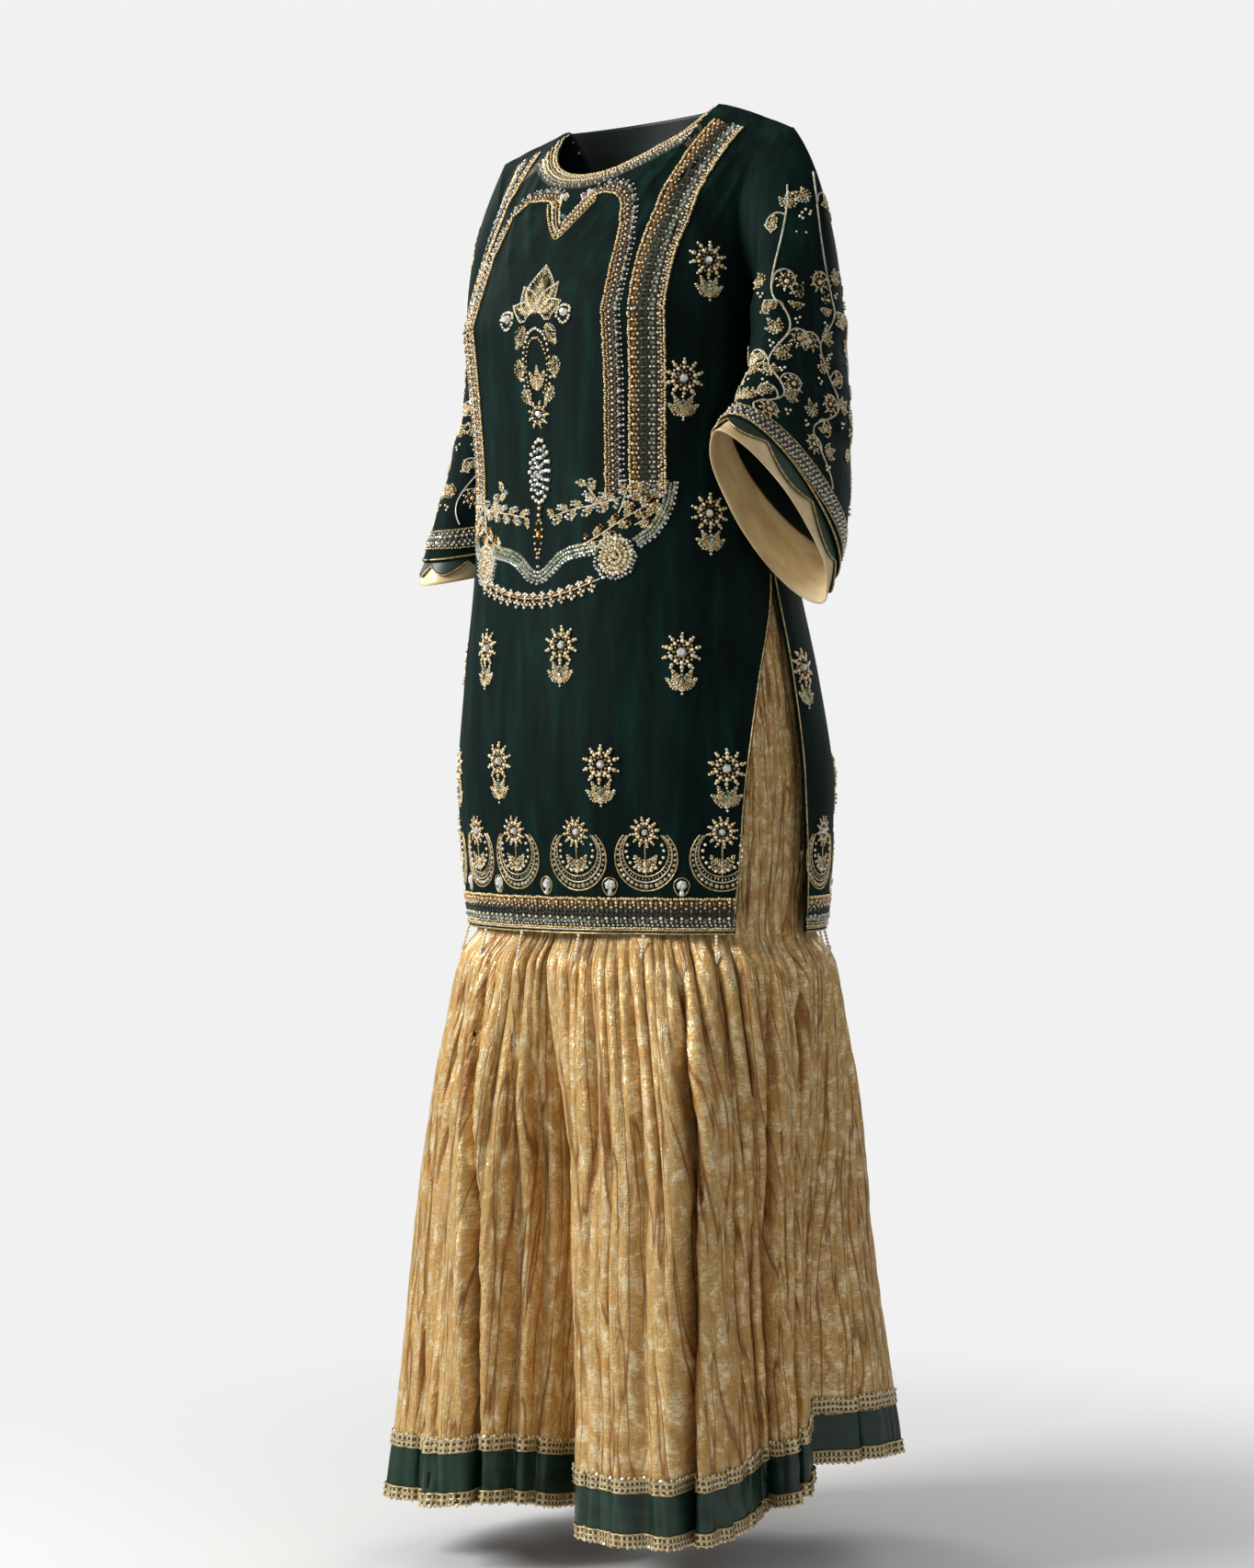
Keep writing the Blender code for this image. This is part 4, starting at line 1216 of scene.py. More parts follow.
@dataclass(frozen=True)
class BorderRow:
    """One row of a beaded border, in millimetres.

    Args:
        kind: bead.
        offset: distance from the border's line, to the left of the way it runs.
        pitch: distance between beads.
        along: bead's size along the line.
        across: bead's size across the line.
        phase: share of a pitch that the first bead lies from the start.
        turn: degrees that the bead is turned.
        high: bead's height, its across size if 0.
    """

    kind: Bead
    offset: float
    pitch: float
    along: float
    across: float
    phase: float = 0.0
    turn: float = 0.0
    high: float = 0.0


def border_rows(*rows: tuple) -> tuple:
    """Border rows from the beads and the measures of each."""
    return tuple(BorderRow(*row) for row in rows)


class Needlework:
    """Beads and cords sewn on one cloth, joined in one piece.

    Args:
        name: piece's name.
        cloth: what it is sewn on.
        lift: metres from the cloth's form to its outer face.
        seed: number that the hand-made unevenness starts from.
    """

    seed_size = 0.0029  # round beads below this size are drawn with eight faces

    def __init__(self, name: str, cloth: Cloth, lift: float = VELVET, seed: int = 1) -> None:
        """Starts with nothing sewn."""
        self.name, self.cloth, self.lift = name, cloth, lift
        self.random = np.random.default_rng(seed)
        self.beads: dict[tuple, list] = {}
        self.cords: dict[Thread, list] = {}
        self.grounds: list = []

    def ground(self, path: Path, low: float, high: float, finish: Finish) -> None:
        """Fills a strip along a line, between two distances in millimetres to its left."""
        strip = ribbon(self.cloth, path, low * MM, high * MM, self.lift + 0.0003)
        self.grounds.append((cloth_mesh("ground", strip, (strip.counts[0] - 1, 6)), finish))

    def bead(self, kind: Bead, u: Array, v: Array, size: tuple, turn: Array | float = 0.0,
             rise: float = 0.0) -> None:
        """Sews beads at places.

        Args:
            kind: bead.
            u: places across.
            v: places down.
            size: along, across and high, in metres.
            turn: direction of its long side in radians.
            rise: metres above the cloth's outer face.
        """
        u, v = np.atleast_1d(u).astype(float), np.atleast_1d(v).astype(float)
        turn = np.broadcast_to(turn, u.shape)
        point, right, up, normal = self.cloth.frames(u, v)
        count = len(u)
        shake = self.random.normal(0.0, 1.0, (count, 4))
        normal = unit(normal + (right * shake[:, :1] + up * shake[:, 1:2]) * 0.1)
        along = right * np.cos(turn)[:, None] + up * np.sin(turn)[:, None]
        across = np.cross(normal, along)
        scale = 1.0 + 0.07 * np.clip(shake[:, 2:3], -2.0, 2.0)
        axes = np.stack([along * size[0] * scale, across * size[1] * scale, normal * size[2]], axis=2)
        centres = point + normal * (self.lift + rise + 0.42 * size[2])
        small = kind.value[0] is Shape.ROUND and max(size[:2]) < self.seed_size
        shape = Shape.SEED if small else kind.value[0]
        self.beads.setdefault((kind, shape), []).append((centres, axes))

    def cord(self, kind: Thread, u: Array, v: Array, radius: float, taper: float = 0.0,
             rise: float = 0.0) -> None:
        """Couches a cord along places, its end thinner by the share taper.

        Args:
            kind: cord.
            u: places across.
            v: places down.
            radius: radius in metres.
            taper: share that its end is thinner.
            rise: metres above the cloth.
        """
        point, _, _, normal = self.cloth.frames(np.asarray(u, float), np.asarray(v, float))
        line = point + normal * (self.lift + rise + 0.55 * radius)
        radii = radius * (1.0 - taper * np.linspace(0.0, 1.0, len(line)) ** 2)
        self.cords.setdefault(kind, []).append((line, radii))

    def strand(self, u: float, v: float, count: int, pitch: float = 0.0033) -> None:
        """Hangs a string of beads with a drop at its end from a place on the hem.

        Args:
            u: place across.
            v: place down.
            count: number of beads.
            pitch: metres between them.
        """
        point, right, _, normal = self.cloth.frames(np.array([u]), np.array([v]))
        along = np.arange(count)[:, None]
        down = np.array([[0.0, 0.0, -1.0]])
        start = point + normal * (self.lift + 0.0022)
        centres = start + down * (along + 0.5) * pitch + normal * 0.0009 * along
        axes = np.tile(np.eye(3) * 0.0037, (count, 1, 1))
        self.beads.setdefault((Bead.PEARL, Shape.ROUND), []).append((centres, axes))
        end = centres[-1:] + down * 0.0042 + normal * 0.001
        axis = np.stack([right * 0.004, np.cross(down, right) * 0.004, down * 0.0075], axis=2)
        self.beads.setdefault((Bead.CLEAR, Shape.GEM), []).append((end, axis))

    def border(self, path: Path, rows: Sequence[BorderRow], side: float = 1.0) -> None:
        """Sews a border's rows along a line, on its left for side 1 and on its right for side -1.

        Args:
            path: the line.
            rows: its rows.
            side: side that it is sewn on.
        """
        for row in rows:
            u, v, turn = path.places(row.pitch * MM, row.phase, side * row.offset * MM)
            high = (row.high or min(row.along, row.across)) * MM
            self.bead(row.kind, u, v, (row.along * MM, row.across * MM, high), turn + math.radians(row.turn))

    def cord_mesh(self, lines: list) -> Mesh:
        """Tubes round lines of points.

        Args:
            lines: points and radii of each.

        Returns:
            The mesh.
        """
        curve = bpy.data.curves.new("cord", "CURVE")
        curve.dimensions = "3D"
        curve.bevel_depth = 1.0
        curve.bevel_resolution = 0
        curve.use_fill_caps = True
        for line, radii in lines:
            spline = curve.splines.new("POLY")
            spline.points.add(len(line) - 1)
            spline.points.foreach_set("co", np.column_stack([line, np.ones(len(line))]).ravel())
            spline.points.foreach_set("radius", radii)
        holder = bpy.data.objects.new("cord", curve)
        mesh = bpy.data.meshes.new_from_object(holder)
        bpy.data.objects.remove(holder)
        mesh.shade_smooth()
        return mesh

    def done(self) -> Object:
        """Joins all that was sewn in one object.

        Returns:
            The object.
        """
        bm = bmesh.new()
        finishes = []
        parts = [(strewn(shape, np.concatenate([c for c, _ in sewn]), np.concatenate([a for _, a in sewn])),
                  kind.value[1]) for (kind, shape), sewn in self.beads.items()]
        parts += [(self.cord_mesh(lines), kind.value) for kind, lines in self.cords.items()]
        parts += self.grounds
        for part, finish in parts:
            start = len(bm.faces)
            bm.from_mesh(part)
            bm.faces.ensure_lookup_table()
            for face in bm.faces[start:]:
                face.material_index = len(finishes)
            finishes.append(finish)
            bpy.data.meshes.remove(part)
        mesh = bpy.data.meshes.new(self.name)
        bm.to_mesh(mesh)
        bm.free()
        return object_of(self.name, mesh, finishes)


def place(piece: Object, slot: str, *nodes: str) -> Object:
    """Puts a piece on the garment's body and hides the solids that it stands for.

    Args:
        piece: the piece.
        slot: not used.
        nodes: solids that it replaces.

    Returns:
        The piece.
    """
    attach(piece, "root")
    if nodes:
        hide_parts(*nodes)
    mesh = piece.evaluated_get(bpy.context.evaluated_depsgraph_get()).data
    log.info("%s: %d faces", piece.name, len(mesh.polygons))
    return piece


# ---------------------------------------------------------------- motifs

def circle(count: int) -> Array:
    """Directions spaced evenly round a circle, in radians."""
    return np.linspace(0.0, math.tau, count, endpoint=False)


def flower(work: Needlework, u: float, v: float, radius: float, turn: float = 0.0, petals: int = 10,
           centre: Bead = Bead.CLEAR) -> None:
    """A beaded flower: a set stone, a ring of bronze and petals of round beads.

    Args:
        work: needlework it is sewn in.
        u: place across.
        v: place down.
        radius: radius in metres.
        turn: turn in radians.
        petals: number of petals.
        centre: bead at its heart.
    """
    cloth = work.cloth
    work.bead(centre, *cloth.spot(u, v, 0.0, 0.0), (radius * 0.6, radius * 0.6, radius * 0.26), turn)
    angles = turn + math.tau * np.arange(petals) / petals
    for kind, reach, size, phase in (
            (Bead.BRONZE, 0.41, (0.19, 0.19, 0.17), 0.5), (Bead.PEARL, 0.6, (0.28, 0.24, 0.2), 0.0),
            (Bead.GOLD, 0.66, (0.18, 0.16, 0.15), 0.5), (Bead.GOLD, 0.86, (0.3, 0.28, 0.2), 0.0),
            (Bead.PEARL, 1.05, (0.16, 0.18, 0.15), 0.0)):
        around = angles + phase * math.tau / petals
        places = cloth.spot(u, v, np.cos(around) * reach * radius, np.sin(around) * reach * radius)
        work.bead(kind, *places, tuple(part * radius for part in size), around)


def leaf(work: Needlework, u: float, v: float, angle: float, length: float, width: float,
         fill: Bead = Bead.STICK) -> None:
    """A leaf worked in slanted bugle beads on both sides of a gilt vein, with pearls round its edge.

    Args:
        work: needlework it is sewn in.
        u: place across.
        v: place down.
        angle: direction in radians.
        length: length in metres.
        width: width in metres.
        fill: bead that fills it.
    """
    cloth = work.cloth
    rows = max(4, round(length / 0.0029))
    along = (np.arange(rows) + 0.5) / rows
    half = width * 0.5 * np.sin(math.pi * along ** 0.8)
    for side in (1, -1):
        places = cloth.spot(u, v, along * length, side * half * 0.48, angle)
        work.bead(fill, *places, (0.0022 + width * 0.28, 0.0019, 0.0015), angle + side * 0.8)
        edge = cloth.spot(u, v, along * length, side * half * 1.05, angle)
        work.bead(Bead.PEARL if side > 0 else Bead.GOLD, *edge, (0.0023, 0.0021, 0.0018), angle)
    work.bead(Bead.GOLD, *cloth.spot(u, v, along * length, 0.0, angle), (0.0019, 0.0013, 0.002), angle)
    work.bead(Bead.PEARL, *cloth.spot(u, v, length * 1.04, 0.0, angle), (0.0024, 0.0024, 0.0022))


def buti(work: Needlework, u: float, v: float, size: float = 1.0) -> None:
    """A small flower over a tulip of four leaves with green stones at its heart.

    Args:
        work: needlework it is sewn in.
        u: place across.
        v: place down.
        size: scale of the motif.
    """
    cloth = work.cloth
    flower(work, u, v, 0.017 * size, 0.3)
    foot = cloth.near(u, v, 0.0, -0.035 * size)
    for lean, length in ((0.45, 0.019), (-0.45, 0.019), (0.95, 0.0165), (-0.95, 0.0165)):
        leaf(work, *foot, math.pi / 2 + lean, length * size, 0.0078 * size)
    heart = np.array([-0.0215, -0.0255, -0.029]) * size
    work.bead(Bead.GREEN, *cloth.spot(u, v, 0.0, heart), (0.004, 0.004, 0.003), 0.0, 0.0012)
    foot = np.array([-0.0365, -0.0395]) * size
    work.bead(Bead.PEARL, *cloth.spot(u, v, 0.0, foot), (0.0028, 0.0028, 0.0026))


def crescent(work: Needlework, u: float, v: float, radius: float = 0.033, flowered: bool = True) -> None:
    """A crescent of two cords with pearls between and inside, round a flower on a leafy stem.

    Args:
        work: needlework it is sewn in.
        u: place across.
        v: place down.
        radius: radius in metres.
        flowered: whether a flower stands in it.
    """
    cloth = work.cloth

    def arc(spread: float, share: float, count: int, scale: float, rise: float) -> tuple:
        """Places across and down of an arc that is open at its top, and its directions."""
        turns = np.linspace(-spread, spread, count) * math.pi * share - math.pi / 2
        a, b = np.cos(turns) * radius * scale, np.sin(turns) * radius * scale + rise * radius
        return *cloth.spot(u, v, a, b), turns

    for scale, rise, kind in ((1.0, 0.0, Thread.GILT), (0.84, 0.1, Thread.CREAM), (0.74, 0.18, Thread.GILT)):
        work.cord(kind, *arc(1.22, 0.62, 41, scale, rise)[:2], 0.0008)
    widths = 0.0018 + 0.003 * np.cos(np.linspace(-1.0, 1.0, 25) * 1.2)
    for place_u, place_v, width in zip(*arc(1.16, 0.6, 25, 0.92, 0.05)[:2], widths):
        work.bead(Bead.DISC, place_u, place_v, (width, width, 0.0015))
    *places, turns = arc(1.12, 0.6, 31, 0.79, 0.14)
    work.bead(Bead.STICK, *places, (0.0026, 0.0012, 0.0012), turns)
    work.bead(Bead.PEARL, *arc(1.0, 0.62, 13, 0.6, 0.2)[:2], LARGE_PEARL_SIZE)
    if flowered:
        top = cloth.near(u, v, 0.0, radius * 0.8)
        flower(work, *top, 0.0135, 0.15, 12)
        stem = cloth.spot(u, v, np.zeros(8), np.linspace(-0.52, 0.4, 8) * radius)
        work.cord(Thread.GILT, *stem, 0.0008)
        for angle in (0.95, math.pi - 0.95):
            foot = cloth.near(u, v, 0.0, -0.42 * radius)
            leaf(work, *foot, angle, 0.018, 0.01)


def teardrop(work: Needlework, u: float, v: float, size: float = 0.012) -> None:
    """A clear drop-cut stone, narrow end down, in a gilt claw line.

    Args:
        work: needlework it is sewn in.
        u: place across.
        v: place down.
        size: stone's width in metres.
    """
    cloth = work.cloth
    work.bead(Bead.CLEAR, *cloth.spot(u, v, 0.0, 0.0), (size, size, 0.0032), 0.2)
    narrow = (size * 0.5, size * 0.42, 0.0026)
    work.bead(Bead.CLEAR, *cloth.spot(u, v, 0.0, -0.62 * size), narrow, math.pi / 2)
    turns = np.linspace(0.0, math.tau, 21)
    reach = 0.6 * size * (1.0 + 0.42 * np.maximum(0.0, -np.sin(turns)) ** 4)
    work.cord(Thread.GILT, *cloth.spot(u, v, np.cos(turns) * reach, np.sin(turns) * reach), 0.0006)


def spray(work: Needlework, u: float, v: float, angle: float, length: float, bend: float,
          accent: Bead = Bead.PEARL) -> None:
    """A curved stem with leaves and bead clusters on both sides.

    Args:
        work: needlework it is sewn in.
        u: place across.
        v: place down.
        angle: direction in radians.
        length: length in metres.
        bend: rise of the tip as a share of the length.
        accent: bead of the clusters.
    """
    cloth = work.cloth
    along = np.linspace(0.0, 1.0, 12)
    a, b = along * length, bend * length * np.sin(along * math.pi * 0.5) ** 2
    work.cord(Thread.CREAM, *cloth.spot(u, v, a, b, angle), 0.0009, 0.4)
    count = max(3, int(length / 0.0085))
    for index in range(count):
        share = (index + 0.8) / count
        side = 1 if index % 2 else -1
        x = share * length
        y = bend * length * math.sin(share * math.pi * 0.5) ** 2
        foot = cloth.near(u, v, x, y, angle)
        leaf(work, *foot, angle + side * 0.95, 0.01, 0.0062)
        a, b = x + np.array([-0.001, 0.002, 0.0005]), y - side * np.array([0.004, 0.0055, 0.008])
        work.bead(accent, *cloth.spot(u, v, a, b, angle), PEARL_SIZE)
    work.bead(Bead.PEARL, *cloth.spot(u, v, length * 1.04, bend * length, angle), (0.003, 0.003, 0.003))


def rose(work: Needlework, u: float, v: float, radius: float) -> None:
    """A ruffled rose of pearls and pale sequins wound outwards, with a scalloped rim.

    Args:
        work: needlework it is sewn in.
        u: place across.
        v: place down.
        radius: radius in metres.
    """
    cloth = work.cloth
    turns = np.linspace(0.0, 1.0, 64) ** 0.62
    angle = turns * math.tau * 3.4
    for kind, share, size, height in ((Bead.DISC, 0.84, 0.0058, 0.003), (Bead.PEARL, 0.94, 0.0034, 0.0034)):
        reach = radius * (0.1 + share * turns)
        places = cloth.spot(u, v, np.cos(angle) * reach, np.sin(angle) * reach)
        work.bead(kind, *places, (size, size * 0.9, height), angle)
    rim = circle(34)
    reach = radius * (1.06 + 0.05 * np.cos(rim * 9.0))
    places = cloth.spot(u, v, np.cos(rim) * reach, np.sin(rim) * reach)
    work.bead(Bead.CLEAR, *places, (0.0038, 0.0032, 0.003), rim)
    work.bead(Bead.GOLD, *cloth.spot(u, v, 0.0, 0.0), (0.005, 0.005, 0.004))


def sequin_band(work: Needlework, path: Path, width: float) -> None:
    """Overlapping sequins in three rows with crystals along the lower edge.

    Args:
        work: needlework it is sewn in.
        path: the line.
        width: width in metres.
    """
    for index, share in enumerate((-0.36, 0.0, 0.36)):
        u, v, turn = path.places(0.0034, 0.5 * (index % 2), share * width)
        work.bead(Bead.SEQUIN, u, v, (0.005, 0.0042, 0.0018), turn + 0.5)
    u, v, turn = path.places(0.0048, 0.3, -0.62 * width)
    work.bead(Bead.CLEAR, u, v, (0.0036, 0.003, 0.002), turn)


def berries(work: Needlework, path: Path, reach: float) -> None:
    """A stem hung with small flowers and drops of pearls.

    Args:
        work: needlework it is sewn in.
        path: the line.
        reach: length of a drop in metres.
    """
    u, v, turn = path.places(0.0012)
    work.cord(Thread.CREAM, u, v, 0.0009)
    places_u, places_v, directions = path.places(0.0115, 0.4)
    for index, (u, v, turn) in enumerate(zip(places_u, places_v, directions)):
        work.bead(Bead.AMBER if index % 2 else Bead.GOLD, u, v, (0.0048, 0.0048, 0.0034), turn)
        for side in (-1.0, 1.0):
            size = reach * (0.55 if side > 0 else 1.0)
            spread = np.array([-0.0028, 0.0028, 0.0, 0.0])
            drop = side * np.array([0.55, 0.55, 0.3, 0.85]) * size
            work.bead(Bead.PEARL, *work.cloth.spot(u, v, spread, drop, turn), LARGE_PEARL_SIZE)
            places = work.cloth.spot(u, v, spread * 1.7, drop * 0.7, turn)
            work.bead(Bead.BRONZE, *places, (0.0026, 0.0026, 0.0026))


# ---------------------------------------------------------------- the garment

NECK_ROWS = border_rows(
    (Bead.GOLD, 1.2, 2.1, 2.4, 2.2), (Bead.PEARL, 4.0, 3.0, 2.8, 2.6),
    (Bead.BRONZE, 7.2, 4.4, 2.7, 2.8), (Bead.GOLD, 7.2, 4.4, 2.5, 2.7, 0.5),
    (Bead.PEARL, 10.4, 3.2, 2.8, 2.9, 0.25), (Bead.STICK, 14.2, 4.4, 1.4, 5.6, 0.25),
    (Bead.CLEAR, 17.4, 8.8, 2.6, 3.2, 0.25, 0.0, 2.0), (Bead.LILAC, 17.4, 8.8, 2.4, 3.0, 0.75, 0.0, 2.0),
    (Bead.PEARL, 13.4, 4.4, 1.8, 1.8, 0.75),
)
STRIP_ROWS = border_rows(
    (Bead.GOLD, -16.4, 2.5, 3.0, 3.2), (Bead.AMBER, -12.0, 9.0, 5.0, 5.6, 0.0, 0.0, 3.0),
    (Bead.PEARL, -13.0, 9.0, 3.2, 3.4, 0.5), (Bead.GOLD, -9.8, 9.0, 3.0, 2.8, 0.5),
    (Bead.PEARL, -8.0, 9.0, 2.6, 2.6, 0.0), (Bead.JET, -4.4, 4.5, 2.4, 3.4, 0.25),
    (Bead.STICK, -4.0, 9.0, 1.5, 4.4, 0.5), (Bead.JET, 0.0, 4.5, 2.4, 3.4, 0.0),
    (Bead.PEARL, 2.6, 9.0, 2.6, 2.6, 0.5), (Bead.GREEN, 5.6, 9.0, 4.8, 6.6, 0.0, 0.0, 3.0),
    (Bead.CLEAR, 6.6, 9.0, 3.0, 4.0, 0.5, 0.0, 2.4), (Bead.BRONZE, 11.2, 9.0, 3.0, 2.8, 0.5),
    (Bead.PEARL, 11.0, 9.0, 3.0, 3.0, 0.0), (Bead.GOLD, 16.4, 2.5, 3.0, 3.2),
    (Bead.PEARL, 13.4, 3.6, 2.8, 2.8, 0.25),
)
BIB_ROWS = border_rows(
    (Bead.GOLD, 1.3, 2.5, 3.0, 3.0), (Bead.BRONZE, 4.9, 5.4, 3.4, 3.4),
    (Bead.PEARL, 5.0, 5.4, 2.1, 2.4, 0.5), (Bead.PEARL, 8.6, 5.4, 2.8, 3.0, 0.25),
    (Bead.BRONZE, 11.4, 5.4, 2.8, 2.4, 0.75), (Bead.JET, 8.4, 5.4, 2.2, 3.0, 0.75),
    (Bead.CLEAR, 15.2, 10.8, 3.8, 5.2, 0.0, 0.0, 2.6),
    (Bead.LILAC, 15.2, 10.8, 3.6, 5.0, 0.5, 0.0, 2.6), (Bead.PEARL, 19.0, 5.4, 2.4, 2.2, 0.0),
    (Bead.GOLD, 13.8, 5.4, 1.9, 2.6, 0.5),
)
HEM_ROWS = border_rows(
    (Bead.GOLD, 34.0, 2.6, 3.1, 3.2), (Bead.AMBER, 29.6, 9.0, 4.4, 5.0, 0.0, 0.0, 2.8),
    (Bead.PEARL, 30.4, 9.0, 3.0, 3.2, 0.5), (Bead.GOLD, 27.4, 9.0, 2.8, 2.6, 0.5),
    (Bead.PEARL, 25.4, 9.0, 2.8, 2.8, 0.0), (Bead.JET, 21.8, 4.5, 2.6, 3.4, 0.25),
    (Bead.STICK, 22.0, 9.0, 1.5, 4.4, 0.5), (Bead.JET, 18.2, 4.5, 2.4, 3.2, 0.0),
    (Bead.GREEN, 13.0, 9.0, 4.6, 6.2, 0.0, 0.0, 2.8), (Bead.PEARL, 15.4, 9.0, 3.2, 3.2, 0.5),
    (Bead.CLEAR, 11.6, 9.0, 3.2, 3.4, 0.5, 0.0, 2.2), (Bead.PEARL, 8.6, 4.5, 2.4, 2.2, 0.25),
    (Bead.GOLD, 5.8, 2.6, 3.0, 2.4), (Bead.JET, 3.9, 2.6, 2.6, 1.6),
)
CUFF_ROWS = border_rows(
    (Bead.GOLD, -10.0, 2.4, 2.4, 2.0), (Bead.PEARL, -6.8, 5.4, 2.8, 2.8),
    (Bead.CLEAR, -3.6, 5.4, 3.6, 4.4, 0.5, 0.0, 2.4), (Bead.BRONZE, -1.0, 5.4, 2.6, 2.6),
    (Bead.CLEAR, 2.4, 5.4, 3.4, 4.2, 0.0, 0.0, 2.4), (Bead.LILAC, 2.6, 10.8, 2.6, 3.0, 0.25, 0.0, 2.2),
    (Bead.PEARL, 5.8, 5.4, 2.6, 2.6, 0.5), (Bead.GOLD, 9.0, 2.4, 2.4, 2.0),
)


@dataclass
class Kameez:
    """The velvet tunic: two panels with their beaded bands, motifs and hem border."""

    pull_height: float = 0.0016
    skirt_height: float = 0.002
    neck_width: float = 21.0
    neck_reach: float = 0.43
    neck_ground: float = 0.84
    tip_v: float = 0.455
    pendant_v: float = 0.985
    drop_v: float = 1.921
    crescent_radius: float = 0.031
    strip_line: tuple = ((0.582, 0.13), (0.574, 0.25), (0.556, 0.42), (0.538, 0.62), (0.522, 0.8),
                         (0.522, 0.95), (0.525, 1.1), (0.52, 1.3))
    bib_line: tuple = ((0.07, 0.345), (0.115, 0.3), (0.19, 0.375), (0.265, 0.52), (0.315, 0.69),
                       (0.338, 0.865), (0.352, 1.08), (0.35, 1.19), (0.345, 1.295))
    butis_front: tuple = ((0.742, 0.8), (0.66, 1.11), (0.748, 1.325), (-0.742, 0.8), (-0.66, 1.11),
                          (-0.345, 1.535), (0.153, 1.535), (0.675, 1.55), (-0.8, 1.54), (-0.232, 1.722),
                          (0.39, 1.728), (0.915, 1.735), (-0.72, 1.73))
    butis_back: tuple = ((0.0, 0.42), (0.45, 0.62), (-0.45, 0.62), (0.0, 0.85), (0.62, 1.02), (-0.62, 1.02),
                         (0.22, 1.16), (-0.22, 1.16), (0.62, 1.36), (-0.62, 1.36), (0.0, 1.4), (0.93, 1.57),
                         (-0.93, 1.57), (0.32, 1.57), (-0.32, 1.57), (0.64, 1.74), (-0.64, 1.74), (0.0, 1.74))
    crescent_v: float = 1.878
    crescents_front: tuple = (-0.85, -0.5, -0.15, 0.262, 0.607, 0.925)
    crescents_back: tuple = (-0.9, -0.6, -0.3, 0.0, 0.3, 0.6, 0.9)
    panels: dict = field(default_factory=dict)

    def relief(self, face: int) -> Callable:
        """Soft creases of a panel: skirt folds, a few at the waist and pulls from the neck.

        Args:
            face: -1 for the front panel, 1 for the back one.

        Returns:
            A function of places across and down that gives the height it stands out by.
        """
        broad = Creases(11 + face, 9, 2)
        narrow = Creases(21 + face, 26, 5)

        def height(u: Array, v: Array) -> Array:
            """Height at each place.

            Args:
                u: places across.
                v: places down.

            Returns:
                The heights.
            """
            share = (u + 1.0) / 2.0
            made = self.skirt_height * smooth((v - 1.15) / 0.5) * broad.read(share, v / 2.0)
            made += 0.0007 * narrow.read(share + 0.01 * v, v / 2.0)
            if face < 0:
                reach = (bell(v - 0.52, 0.24) * smooth((np.abs(u) - 0.06) / 0.1)
                         * smooth((0.95 - np.abs(u)) / 0.2))
                slant = np.abs(u) * 7.0 + v * 3.1
                made += self.pull_height * reach * np.sin(slant * math.tau * 0.45) ** 8
            return made

        return height

    def build(self) -> None:
        """Builds the panels and everything sewn on them."""
        for face, word, cells in ((-1, "front", (120, 150)), (1, "back", (90, 110))):
            cloth = Cloth(lambda u, v, face=face: kameez_form(face, u, v), (-1.0, 1.0), (0.0, 2.0),
                          self.relief(face), (401, 801))
            self.panels[face] = cloth
            panel = cloth_object(f"velvet_{word}", cloth, cells, (VELVET_FINISH, GREEN_LINING), VELVET)
            place(panel, "velvet", f"kameez_{word}")
        self.neckline()
        self.bands()
        self.medallion()
        self.garland()
        self.scattered()
        for face in (-1, 1):
            self.hem(face)

    def neckline(self) -> None:
        """Beads round the front and the back of the neck."""
        work = Needlework("neckline_beadwork", self.panels[-1], seed=3)
        for face in (-1, 1):
            work.cloth = self.panels[face]
            shares = np.linspace(-self.neck_reach, self.neck_reach, 15)
            path = work.cloth.path([(share, 0.004) for share in self.neck_ground * shares])
            work.ground(path, -self.neck_width, -0.4, GROUND)
            path = work.cloth.path([(share, 0.004) for share in shares])
            work.border(path, NECK_ROWS, -1.0)
        place(work.done(), "beadwork", "neck_band")

    def bands(self) -> None:
        """Beaded strips from the shoulders and the bib's sides and top."""
        front = self.panels[-1]
        for side, word in SIDES:
            work = Needlework(f"strip_{word}_beadwork", front, seed=5 + side)
            spread = 0.0 if side > 0 else 0.055
            path = front.path([(side * (share + spread), down) for share, down in self.strip_line])
            work.ground(path, -16.0, 16.0, GROUND)
            work.border(path, STRIP_ROWS, side)
            place(work.done(), "beadwork", f"strip_{word}")
            work = Needlework(f"bib_{word}_beadwork", front, seed=8 + side)
            spread = 0.0 if side > 0 else 0.075
            path = front.path([(side * (share + spread * min(1.0, 5.0 * (share - 0.07))), down)
                               for share, down in self.bib_line])
            work.ground(path, *sorted((0.4 * side, 12.5 * side)), GROUND)
            work.border(path, BIB_ROWS, side)
            place(work.done(), "beadwork", f"bib_{word}")
        work = Needlework("bib_top_beadwork", front, seed=12)
        self.tip(work)
        place(work.done(), "beadwork", "bib_top")

